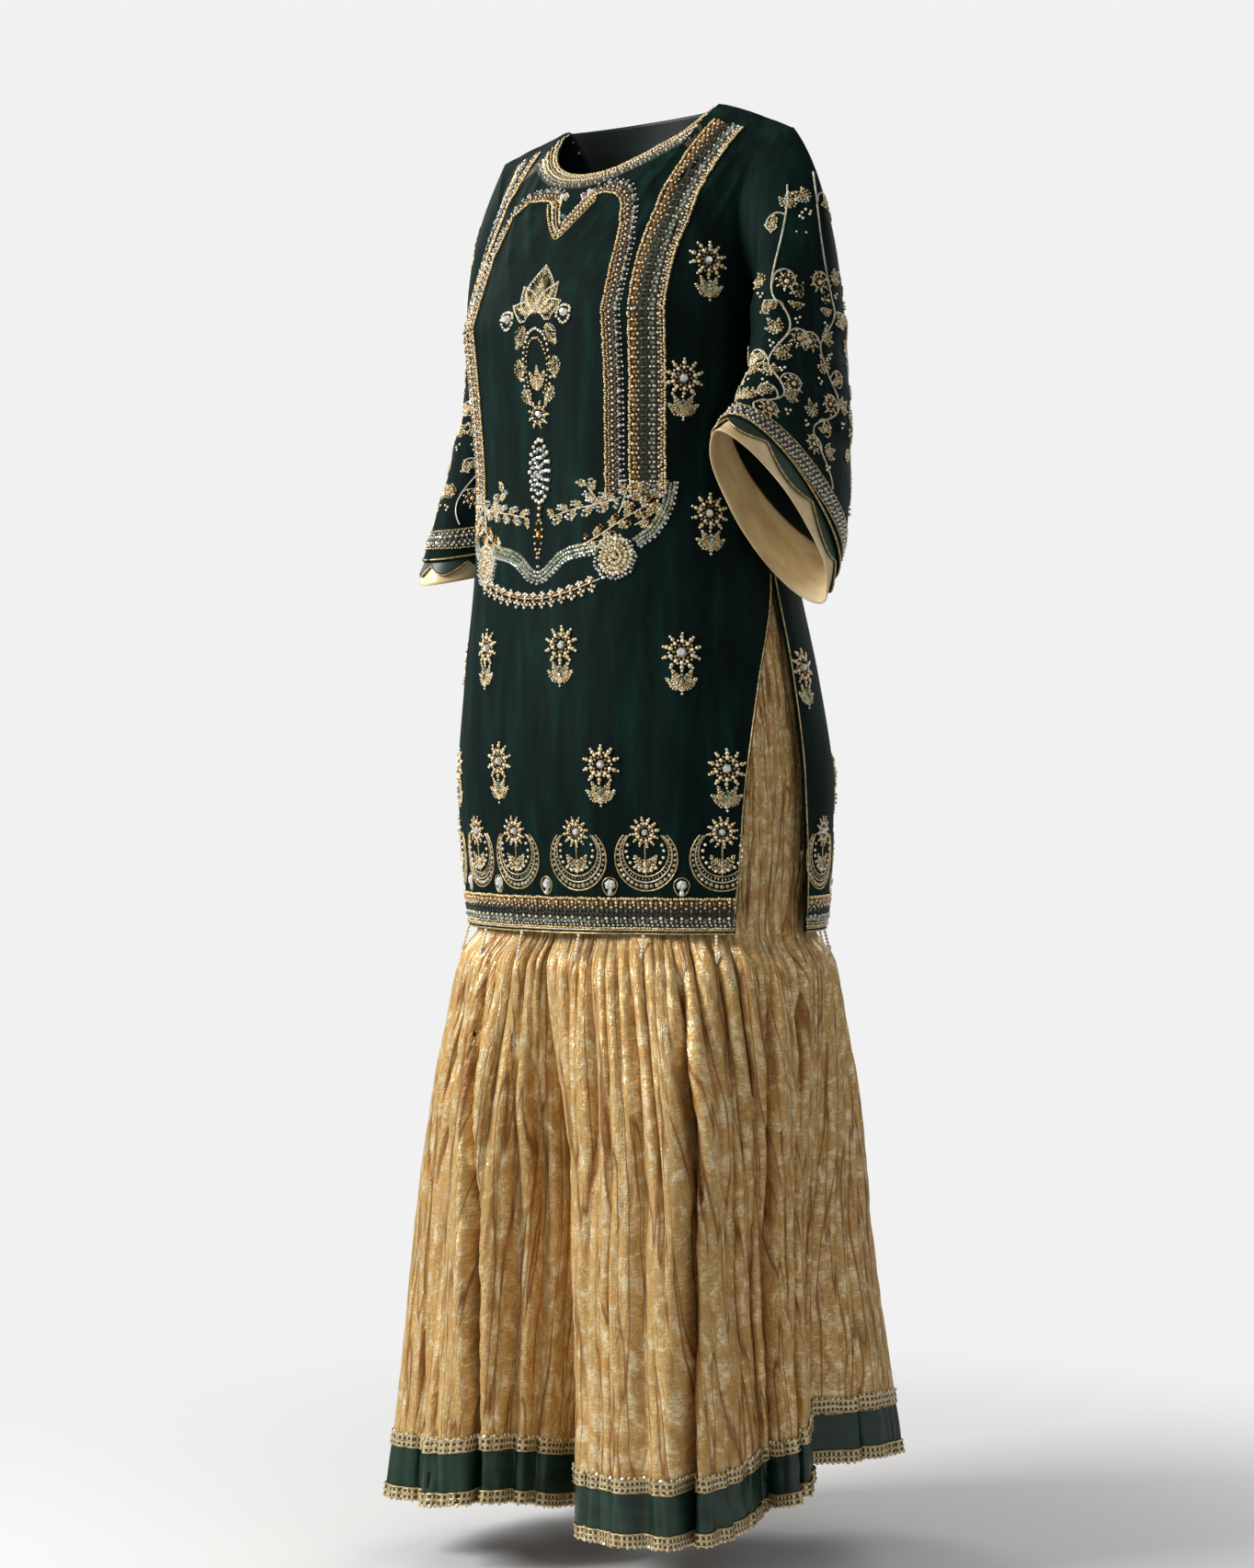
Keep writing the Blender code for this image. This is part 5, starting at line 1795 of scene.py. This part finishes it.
    def tip(self, work: Needlework) -> None:
        """The pair of curled leaves that meet in the bib's dip below the neck.

        Args:
            work: needlework it is sewn in.
        """
        cloth = work.cloth
        for side in (-1, 1):
            for reach, kind, bead in ((0.0, Thread.GILT, Bead.GOLD), (0.0045, Thread.GILT, Bead.PEARL),
                                      (0.009, Thread.CREAM, Bead.BRONZE), (0.0135, Thread.GILT, Bead.PEARL)):
                turns = np.linspace(0.0, 1.0, 26)
                a = side * (0.0005 + turns ** 0.85 * (0.034 - 0.9 * reach))
                b = -0.018 + reach * 1.15 + 0.038 * turns ** 1.3 + 0.004 * np.sin(turns * math.pi)
                work.cord(kind, *cloth.spot(0.0, self.tip_v, a, b), 0.0008)
                places = cloth.spot(0.0, self.tip_v, a[1::2], b[1::2] + 0.0022)
                work.bead(bead, *places, PEARL_SIZE)
            tip = cloth.near(0.0, self.tip_v, side * 0.03, 0.03)
            leaf(work, *tip, math.pi / 2 + side * 0.9, 0.014, 0.009)
        work.bead(Bead.GREEN, *cloth.spot(0.0, self.tip_v, 0.0, 0.008), (0.007, 0.007, 0.004))

    def medallion(self) -> None:
        """The pendant on the chest: palmette, side buds, horseshoe, flower, oval stone and drop."""
        work = Needlework("medallion_beadwork", self.panels[-1], seed=15)
        cloth = work.cloth
        middle = self.pendant_v

        def spot(a: float, b: float) -> tuple:
            """One place, a metres right and b metres up of the pendant's middle."""
            return cloth.near(0.0, middle, a, b)

        for angle, foot, length, width in (
                (90, 0.002, 0.048, 0.03), (56, 0.006, 0.033, 0.017), (124, 0.006, 0.033, 0.017),
                (18, 0.006, 0.026, 0.015), (162, 0.006, 0.026, 0.015)):
            turn = math.radians(angle)
            base = spot(math.cos(turn) * foot, 0.001)
            leaf(work, *base, turn, length, width, Bead.OLIVE)
            leaf(work, *base, turn, length * 0.7, width * 0.5)
            edge = np.linspace(0.0, 1.0, 16)
            for side in (-1, 1):
                half = side * width * 0.6 * np.sin(math.pi * edge ** 0.8)
                work.cord(Thread.CREAM, *cloth.spot(*base, edge * length * 1.04, half, turn), 0.0008)
        for side in (-1, 1):
            bud = spot(side * 0.037, -0.002)
            work.bead(Bead.CLEAR, *cloth.spot(*bud, 0.0, 0.0), (0.011, 0.009, 0.005))
            around = circle(16)
            work.bead(Bead.PEARL, *cloth.spot(*bud, np.cos(around) * 0.0082, np.sin(around) * 0.007),
                      (0.0032, 0.0032, 0.0028))
            for a, b, lean, length, width in (
                    (0.014, -0.01, 0.55, 0.022, 0.014), (0.024, -0.028, -0.1, 0.02, 0.013),
                    (0.02, -0.045, -0.62, 0.018, 0.011)):
                leaf(work, *spot(side * a, b), -math.pi / 2 + side * lean, length, width)
        for reach, bead, size in ((0.8, Bead.PEARL, 0.0034), (0.62, Bead.GOLD, 0.0028)):
            turns = np.linspace(-0.3, 1.3, 30) * math.pi
            a, b = np.cos(turns) * 0.0225 * reach, np.sin(turns) * 0.028 * reach - 0.034
            work.bead(bead, *cloth.spot(0.0, middle, a, b), (size, size, 0.0028), turns)
        for lean in (-0.5, 0.0, 0.5):
            leaf(work, *spot(0.0, -0.046), math.pi / 2 + lean, 0.022 - 0.006 * abs(lean), 0.007)
        flower(work, *spot(0.0, -0.06), 0.0125, 0.0, 9, Bead.CLEAR)
        for ring, count in enumerate((20, 15, 10, 5)):
            around = circle(count)
            reach = 1.0 - 0.27 * ring
            a, b = np.cos(around) * 0.0125 * reach, -0.092 + np.sin(around) * 0.0175 * reach
            kind = Bead.CLEAR if ring else Bead.PEARL
            work.bead(kind, *cloth.spot(0.0, middle, a, b), (0.0046, 0.0046, 0.0036))
        places = cloth.spot(0.0, middle, 0.0, np.array([-0.113, -0.117]))
        work.bead(Bead.GOLD, *places, (0.0048, 0.0044, 0.004))
        around = circle(14)
        places = cloth.spot(0.0, middle, np.cos(around) * 0.0046, -0.129 + np.sin(around) * 0.0095)
        work.bead(Bead.GOLD, *places, (0.003, 0.003, 0.0026))
        work.bead(Bead.AMBER, *cloth.spot(0.0, middle, 0.0, -0.128), (0.011, 0.0062, 0.004), math.pi / 2)
        places = cloth.spot(0.0, middle, 0.0, np.array([-0.141, -0.146]))
        work.bead(Bead.CLEAR, *places, (0.0038, 0.0032, 0.003))
        place(work.done(), "beadwork", "medallion")

    def garland(self) -> None:
        """The garland at the waist: roses, sprays, sequin scallop and hanging berries."""
        work = Needlework("waist_garland_beadwork", self.panels[-1], seed=21)
        cloth = work.cloth
        for side in (-1, 1):
            rose(work, side * 0.375, 1.396, 0.019)
            for share, down, angle, length, bend, accent in (
                    (0.415, 1.3, 197.0, 0.078, -0.1, Bead.CLEAR),
                    (0.4, 1.325, 60.0, 0.03, 0.15, Bead.CLEAR),
                    (0.235, 1.375, 22.0, 0.08, 0.12, Bead.AMBER),
                    (0.43, 1.3, 25.0, 0.034, -0.2, Bead.CLEAR),
                    (0.34, 1.32, 115.0, 0.034, 0.2, Bead.CLEAR),
                    (0.46, 1.345, 20.0, 0.026, 0.2, Bead.AMBER)):
                turn = math.radians(angle) if side > 0 else math.pi - math.radians(angle)
                spray(work, side * share, down, turn, length, bend * side, accent)
            sequin_band(work, cloth.path([(side * 0.465, 1.372), (side * 0.53, 1.352), (side * 0.585, 1.315),
                                          (side * 0.61, 1.275)][::side]), 0.01)
        sequin_band(work, cloth.path([(-0.315, 1.372), (-0.15, 1.388), (0.0, 1.422), (0.15, 1.388),
                                      (0.3, 1.378)]), 0.011)
        berries(work, cloth.path([(-0.37, 1.425), (-0.18, 1.45), (0.0, 1.458), (0.16, 1.45),
                                  (0.32, 1.43)]), 0.0105)
        place(work.done(), "beadwork")

    def scattered(self) -> None:
        """Small flowers scattered over both panels."""
        work = Needlework("flower_butis_beadwork", self.panels[-1], seed=25)
        for face, places in ((-1, self.butis_front), (1, self.butis_back)):
            work.cloth = self.panels[face]
            for share, down in places:
                buti(work, share, down)
        place(work.done(), "beadwork")

    def hem(self, face: int) -> None:
        """The border at a panel's hem: crescents, beaded strip, piping and hanging drops.

        Args:
            face: -1 for the front panel, 1 for the back one.
        """
        word = "front" if face < 0 else "back"
        work = Needlework(f"hem_{word}_beadwork", self.panels[face], seed=31 + face)
        cloth = work.cloth
        path = cloth.path([(share, 2.0) for share in np.linspace(-0.998, 0.998, 25)])
        work.ground(path, 5.0, 35.0, GROUND)
        work.border(path, HEM_ROWS)
        for offset, kind, radius in ((0.6, Thread.GILT, 0.0009), (3.9, Thread.CREAM, 0.001)):
            u, v, _ = path.places(0.004, 0.0, offset * MM)
            work.cord(kind, np.clip(u, -1.0, 1.0), np.clip(v, 0.0, 2.0), radius)
        places = self.crescents_front if face < 0 else self.crescents_back
        for index, share in enumerate(places):
            crescent(work, share, self.crescent_v, self.crescent_radius)
            if index:
                teardrop(work, (share + places[index - 1]) / 2, self.drop_v)
            work.strand(share, 2.0, 6)
        for side in (-1, 1):
            edge = cloth.path([(side * 0.99, 1.42), (side * 0.992, 1.7), (side * 0.992, 1.995)])
            u, v, _ = edge.places(0.005)
            work.cord(Thread.GILT, u, v, 0.0009)
        place(work.done(), "beadwork", f"hem_band_{word}")


@dataclass
class Sleeve:
    """One bell sleeve with its vines, cuff band, facing and scallops.

    Args:
        side: 1 for the wearer's left, -1 for the right.
        word: the side's name.
    """

    side: int
    word: str
    crease_height: float = 0.0026
    vine_columns: int = 6
    scallop_count: int = 8
    scallop_reach: float = 0.012
    seam_reach: float = 0.0034
    vine_wave: float = 21.0
    vine_phase: float = 1.7
    vine_sway: float = 0.22

    def relief(self, u: Array, v: Array) -> Array:
        """Rings of soft creases at the elbow and a few down the bell.

        Args:
            u: places across.
            v: places down.

        Returns:
            The height that it stands out.
        """
        share = u / 360.0
        elbow = bell(v - 0.55, 0.16)
        slanted = Creases(41 + self.side, 5, 13)
        bell_folds = Creases(44 + self.side, 9, 3)
        made = self.crease_height * elbow * slanted.read(share + 0.05 * v, v)
        made += 0.0016 * smooth((v - 0.6) / 0.3) * bell_folds.read(share, v)
        return made * smooth(v / 0.12) * smooth((1.02 - v) / 0.04)

    def build(self) -> None:
        """Builds the sleeve from the velvet inwards."""
        def form(u: Array, v: Array) -> Array:
            """The sleeve with its head drawn in to the armhole seam."""
            point = sleeve_form(self.side, u, v)
            point[..., 0] -= self.side * self.seam_reach * (1.0 - smooth(v / 0.1))
            return point

        cloth = Cloth(form, (0.0, 360.0), (0.0, 1.0), self.relief, (361, 361), True)
        piece = cloth_object(f"velvet_sleeve_{self.word}", cloth, (84, 84), (VELVET_FINISH, GREEN_LINING),
                             VELVET)
        place(piece, "velvet", f"sleeve_{self.word}")
        self.vines(cloth)
        self.cuff(cloth)
        self.lining()

    def vines(self, cloth: Cloth) -> None:
        """Curling vines with flowers, leaves and berries all over the sleeve.

        Args:
            cloth: the sleeve's form.
        """
        work = Needlework(f"vines_{self.word}_beadwork", cloth, seed=51 + self.side)
        step = 360.0 / self.vine_columns
        for column in range(self.vine_columns):
            middle = step * (column + 0.5)
            inward = -self.side * math.sin(math.radians(middle)) > 0.2
            down = np.linspace(0.52 if inward else 0.1, 0.885, 60)
            sway = self.vine_sway * step * np.sin(down * self.vine_wave + self.vine_phase * column)
            work.cord(Thread.CREAM, middle + sway, down, 0.001)
            for index in range(8):
                v = 0.135 + 0.096 * index
                if inward and v < 0.5:
                    continue
                u = middle + self.vine_sway * step * math.sin(v * self.vine_wave + self.vine_phase * column)
                side = 1 if (index + column) % 2 else -1
                turns = np.linspace(0.0, 1.0, 22)
                angle = turns * 4.6
                reach = 0.0125 * (1.0 - 0.62 * turns)
                a = side * (0.0135 - np.cos(angle) * reach)
                b = np.sin(angle) * reach
                work.cord(Thread.CREAM, *cloth.spot(u, v, a, b), 0.001, 0.35)
                heart = cloth.near(u, v, side * 0.0135, 0.0)
                if index % 2:
                    flower(work, *heart, 0.01, 0.4, 8, Bead.GOLD)
                else:
                    for turn in (0.9, 2.2, 3.5):
                        leaf(work, *heart, turn, 0.009, 0.0055, Bead.OLIVE)
                far = cloth.near(u, v, -side * 0.006, 0.004)
                for turn, length in ((0.25, 0.0125), (0.85, 0.0165), (1.45, 0.0125)):
                    leaf(work, *far, turn if side < 0 else math.pi - turn, length, 0.0068, Bead.OLIVE)
                dots = cloth.spot(u, v, -side * np.array([0.01, 0.014, 0.012]),
                                  np.array([-0.008, -0.006, -0.011]))
                work.bead(Bead.PEARL, *dots, PEARL_SIZE)
        place(work.done(), "beadwork")

    def cuff(self, cloth: Cloth) -> None:
        """The beaded band at the velvet edge.

        Args:
            cloth: the sleeve's form.
        """
        work = Needlework(f"cuff_{self.word}_beadwork", cloth, seed=61 + self.side)
        path = cloth.path([(u, 0.93) for u in np.linspace(0.0, 359.0, 37)])
        work.ground(path, -10.5, 10.5, GROUND)
        work.border(path, CUFF_ROWS)
        edge = cloth.path([(u, 0.995) for u in np.linspace(0.0, 360.0, 37)], False)
        u, v, _ = edge.places(0.004)
        work.cord(Thread.GILT, u, v, 0.001)
        place(work.done(), "beadwork", f"cuff_band_{self.word}")

    def lining(self) -> None:
        """The beige facing inside the cuff and the green scallops between the two."""
        creases = Creases(71 + self.side, 15, 4)

        def scallop_form(u: Array, v: Array) -> Array:
            """Places of the scallops: v 0 is inside the sleeve, 1 the scalloped edge."""
            edge = 1.004 + self.scallop_reach * np.abs(np.sin(np.radians(u) * self.scallop_count / 2.0))
            share = np.where(v < 0.5, 0.96 + 0.08 * v, 1.0 + (edge - 1.0) * (2 * v - 1.0))
            return sleeve_form(self.side, u, share)

        def facing_form(u: Array, v: Array) -> Array:
            """Places of the facing: v 0 is inside the sleeve, 1 its edge past the cuff."""
            share = np.where(v < 0.6, 0.9 + v / 6.0, 1.0 + 0.024 * (v - 0.6) / 0.4)
            return sleeve_form(self.side, u, share)

        def crumple(u: Array, v: Array) -> Array:
            """Small tucks of the facing, none where it is sewn."""
            return 0.0013 * smooth((v - 0.55) / 0.3) * (creases.read(u / 360.0, v) - 0.6)

        green = Cloth(scallop_form, (0.0, 360.0), (0.0, 1.0), None, (721, 61), True)
        piece = cloth_object(f"scallops_{self.word}_satin", green, (192, 10), (GREEN_SATIN,), SATIN,
                             -SATIN - TRIM_GAP)
        place(piece, "green_satin", f"scallops_{self.word}")
        beige = Cloth(facing_form, (0.0, 360.0), (0.0, 1.0), crumple, (361, 121), True)
        piece = cloth_object(f"facing_{self.word}_satin", beige, (132, 18), (BEIGE_SATIN,), SATIN,
                             -2.0 * (SATIN + TRIM_GAP))
        place(piece, "beige_satin", f"facing_{self.word}")
        work = Needlework(f"scallop_piping_{self.word}", green, -TRIM_GAP, 65)
        u = np.linspace(0.0, 359.5, 192)
        work.cord(Thread.GILT, u, np.full_like(u, 0.99), 0.0008)
        place(work.done(), "gota")


@dataclass
class Leg:
    """One leg of the sharara with its satin band and two laces.

    Args:
        side: 1 for the wearer's left, -1 for the right.
        word: the side's name.
    """

    side: int
    word: str
    pleats: int = 46
    top_z: float = -0.413
    band_span: tuple = (0.003, 0.056)
    lace_spans: tuple = ((0.05, 0.064, "gota_upper"), (0.0, 0.0125, "gota_lower"))

    def relief(self, u: Array, z: Array) -> Array:
        """Pleats of uneven width that wander and fade, and small crinkles on them.

        Args:
            u: places across.
            z: heights in metres.

        Returns:
            The height that it stands out.
        """
        share = u / LEG_COLUMNS
        random = np.random.default_rng(81 + self.side)
        growth = smooth((-0.795 - z) / 0.05)
        down = (self.top_z - z) / (self.top_z - SHARARA_HEM_Z)
        made = np.zeros_like(u)
        wander = Creases(83 + self.side, 11, 4)
        place_u = share + 0.006 * wander.read(share, down)
        for index in range(self.pleats):
            middle = (index + random.uniform(0.1, 0.9)) / self.pleats
            half = random.uniform(0.0022, 0.0045)
            depth = random.uniform(0.0045, 0.0105)
            fade = random.uniform(-1.25, -0.9) if random.uniform() < 0.7 else -1.6
            gap = (place_u - middle + 0.5) % 1.0 - 0.5
            pleat = bell(gap, half) - 0.45 * bell(gap, 3.2 * half)
            made -= depth * pleat * growth * smooth((z - fade) / 0.25)
        crush = Creases(86 + self.side, 130, 12).gathers(place_u, down)
        fine = Creases(88 + self.side, 260, 60).read(place_u, down)
        made += 0.0018 * crush + 0.0006 * fine
        past = u - LEG_OUTER if self.side > 0 else LEG_COLUMNS - LEG_OUTER - u
        inner = smooth(past / 2.0)
        near = inner * smooth((z + 1.2) / 0.25)
        hem = smooth((z - SHARARA_HEM_Z) / 0.02)
        return made * (1.0 - 0.75 * near) * (0.55 + 0.45 * hem)

    def height(self, u: Array, v: Array) -> Array:
        """Height of a place: v 0 is the top, 1 the crotch and 2 the hem.

        Args:
            u: places across.
            v: places down.

        Returns:
            The heights.
        """
        column = u if self.side > 0 else (2 * LEG_COLUMNS + LEG_OUTER - u) % LEG_COLUMNS
        hem = leg_hem_z(self.side, leg_direction(column))
        upper = self.top_z + (CROTCH_Z - self.top_z) * np.clip(v, 0.0, 1.0)
        return np.where(v < 1.0, upper, CROTCH_Z + (hem - CROTCH_Z) * np.clip(v - 1.0, 0.0, 1.0))

    def strip(self, low: float, high: float) -> Cloth:
        """The form of a strip between two heights above the hem.

        Args:
            low: lower edge in metres above the hem.
            high: upper edge in metres above the hem.

        Returns:
            The strip's form.
        """
        def height(u: Array, v: Array) -> Array:
            """Height of a place: v 0 is the strip's top, 1 its foot."""
            return self.height(u, np.full_like(u, 2.0)) + high + (low - high) * v

        return Cloth(lambda u, v: leg_at(self.side, u, height(u, v)), (0.0, float(LEG_COLUMNS)), (0.0, 1.0),
                     lambda u, v: self.relief(u, height(u, v)), (961, 25), True)

    def build(self) -> None:
        """Builds the leg, its band and laces."""
        cloth = Cloth(lambda u, v: leg_at(self.side, u, self.height(u, v)), (0.0, float(LEG_COLUMNS)),
                      (0.0, 1.918), lambda u, v: self.relief(u, self.height(u, v)), (961, 601), True)
        low = 0.0 if self.side < 0 else float(LEG_OUTER)
        inner = (low, low + LEG_COLUMNS - LEG_OUTER)
        piece = cloth_object(f"tissue_leg_{self.word}", cloth, (380, 160), (TISSUE_FINISH,), 0.0, TISSUE,
                             lambda u, v: v < 1.0 and inner[0] < u < inner[1])
        place(piece, "tissue", f"leg_{self.word}")
        band = cloth_object(f"satin_band_{self.word}", self.strip(*self.band_span), (384, 9), (GREEN_SATIN,),
                            0.0, TISSUE)
        place(band, "green_satin", f"satin_{self.word}")
        for low, high, node in self.lace_spans:
            strip = self.strip(low, high)
            lace = cloth_object(f"{node}_{self.word}_lace", strip, (384, 4), (GOTA_FINISH,), 0.0,
                                TISSUE + 3 * TRIM_GAP)
            place(lace, "gota", f"{node}_{self.word}")
            self.loops(node, strip)

    def loops(self, node: str, strip: Cloth) -> None:
        """Picot loops along a lace's free edge and cords along its lines.

        Args:
            node: the lace's node.
            strip: the lace's form.
        """
        work = Needlework(f"{node}_{self.word}_picot", strip, TISSUE + 3 * TRIM_GAP, 91)
        upper = node == "gota_upper"
        for down in (0.1, 0.5, 0.9):
            u = np.linspace(0.0, LEG_COLUMNS - 0.1, 420)
            work.cord(Thread.GILT, u, np.full_like(u, down), 0.0007)
        u, v, turn = strip.path([(place_u, 0.03 if upper else 0.97) for place_u in
                                 np.linspace(0.0, LEG_COLUMNS - 0.1, 300)], False).places(0.0052)
        work.bead(Bead.DISC, u, v, (0.0042, 0.0046, 0.0014), turn)
        place(work.done(), "gota")


@dataclass
class Sharara:
    """The crushed tissue sharara: two legs and a waistband."""

    band_thickness: float = 0.0016

    def build(self) -> None:
        """Builds the legs and the waistband."""
        for side, word in SIDES:
            Leg(side, word).build()
        gathers = Creases(95, 70, 2)

        def form(u: Array, v: Array) -> Array:
            """Places round the waistband, seen from outside to the viewer's right.

            Args:
                u: places across.
                v: places down.

            Returns:
                The points.
            """
            z = WAIST_Z - WAISTBAND_HEIGHT * v
            angle = np.radians(u)
            half_width, front, back, centre, squareness = (read(SHARARA_SECTIONS, z, index)
                                                           for index in range(1, 6))
            reach = ring_reach(angle, half_width, np.where(np.cos(angle) > 0, front, back), squareness)
            return np.stack([reach * np.sin(angle), centre - reach * np.cos(angle), z], axis=-1)

        cloth = Cloth(form, (0.0, 360.0), (0.0, 1.0), lambda u, v: 0.0008 * gathers.read(u / 360.0, v),
                      (721, 25), True)
        piece = cloth_object("waistband_cotton", cloth, (240, 6), (WAIST_COTTON,), self.band_thickness)
        place(piece, "waist_cotton", "waistband")


@dataclass
class Studio:
    """Camera at the photograph's angle, soft lights and a pale floor."""

    azimuth: float = 42.0
    aim_z: float = -0.6645
    distance: float = 3.1
    lens: float = 71.15
    shift: float = -0.0106
    backdrop: str = "#f1f1f1"
    floor_z: float = -1.43
    ambient: float = 0.32
    floor_radius: float = 2.4
    floor_fade: tuple = (1.45, 1.9)

    def around(self, azimuth: float, elevation: float, distance: float) -> Vector:
        """Place seen from the suit's middle at an azimuth and elevation."""
        a, e = math.radians(azimuth), math.radians(elevation)
        back = Vector((math.sin(a) * math.cos(e), -math.cos(a) * math.cos(e), math.sin(e)))
        return Vector((0.0, 0.0, self.aim_z)) + back * distance

    def stand(self, made: Object, azimuth: float, elevation: float, distance: float) -> None:
        """Places a camera or a lamp round the suit and turns it to the suit's middle.

        Args:
            made: the camera or lamp.
            azimuth: degrees round the suit.
            elevation: degrees above the suit's middle.
            distance: metres from its middle.
        """
        made.location = self.around(azimuth, elevation, distance)
        aim = Vector((0.0, 0.0, self.aim_z)) - made.location
        made.rotation_euler = aim.to_track_quat("-Z", "Y").to_euler()
        bpy.context.scene.collection.objects.link(made)

    def camera(self) -> None:
        """Adds the camera."""
        data = bpy.data.cameras.new("camera")
        data.lens = self.lens
        data.sensor_width = 36.0
        data.shift_x = self.shift
        camera = bpy.data.objects.new("camera", data)
        self.stand(camera, self.azimuth, 0.0, self.distance)
        bpy.context.scene.camera = camera

    def light(self, name: str, azimuth: float, elevation: float, distance: float, power: float,
              size: float) -> None:
        """Adds a square softbox that faces the suit.

        Args:
            name: its name.
            azimuth: degrees round the suit.
            elevation: degrees above the suit's middle.
            distance: metres from its middle.
            power: watts.
            size: width of its face in metres.
        """
        data = bpy.data.lights.new(name, "AREA")
        data.energy = power
        data.size = size
        self.stand(bpy.data.objects.new(name, data), azimuth, elevation, distance)

    def world(self) -> None:
        """Sets the pale backdrop, which lights the suit less than it shows."""
        world = bpy.data.worlds.new("studio")
        world.use_nodes = True
        bpy.context.scene.world = world
        tree = world.node_tree
        tree.nodes.clear()
        path = add(tree, "LightPath")
        seen = add(tree, "Background", {"Color": linear(self.backdrop), "Strength": 1.0})
        cast = add(tree, "Background", {"Color": linear("#ffffff"), "Strength": self.ambient})
        mixed = add(tree, "MixShader", links={0: path.outputs["Is Camera Ray"], 1: cast.outputs[0],
                                              2: seen.outputs[0]})
        add(tree, "OutputWorld", links={"Surface": mixed.outputs[0]})

    def floor(self) -> None:
        """Adds a pale floor that fades into the backdrop away from the suit."""
        bm = bmesh.new()
        bmesh.ops.create_circle(bm, cap_ends=True, segments=64, radius=self.floor_radius,
                                matrix=Matrix.Translation((0.0, 0.0, self.floor_z)))
        mesh = bpy.data.meshes.new("floor")
        bm.to_mesh(mesh)
        bm.free()
        floor = bpy.data.objects.new("floor", mesh)
        bpy.context.scene.collection.objects.link(floor)
        paint = bpy.data.materials.new("matt_studio_floor")
        paint.use_nodes = True
        tree = paint.node_tree
        shader = tree.nodes["Principled BSDF"]
        set_shader(shader, Base_Color=linear("#dfdfdf"), Roughness=0.9)
        away = add(tree, "VectorMath", {"operation": "LENGTH"}, {0: add(tree, "TexCoord").outputs["Object"]})
        share = add(tree, "MapRange", {"From Min": self.floor_fade[0], "From Max": self.floor_fade[1],
                                        "interpolation_type": "SMOOTHSTEP"}, {"Value": away.outputs["Value"]})
        clear = add(tree, "BsdfTransparent")
        mixed = add(tree, "MixShader", links={0: share.outputs[0], 1: shader.outputs[0], 2: clear.outputs[0]})
        tree.links.new(mixed.outputs[0], tree.nodes["Material Output"].inputs["Surface"])
        mesh.materials.append(paint)

    def build(self) -> None:
        """Sets up the whole studio."""
        bpy.context.scene.view_settings.view_transform = "Standard"
        self.camera()
        self.world()
        self.floor()
        self.light("key_softbox", -30.0, 26.0, 2.9, 98.0, 1.2)
        self.light("side_softbox", 92.0, 20.0, 3.0, 8.0, 1.4)
        self.light("far_softbox", -100.0, 30.0, 3.0, 18.0, 1.4)
        self.light("back_softbox", 190.0, 30.0, 3.2, 22.0, 1.5)


def main() -> None:
    """Builds the studio and the suit."""
    logging.basicConfig(level=logging.INFO, format="%(message)s")
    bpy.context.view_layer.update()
    Studio().build()
    Sharara().build()
    Kameez().build()
    for side, word in SIDES:
        Sleeve(side, word).build()


if __name__ == "__main__":
    main()
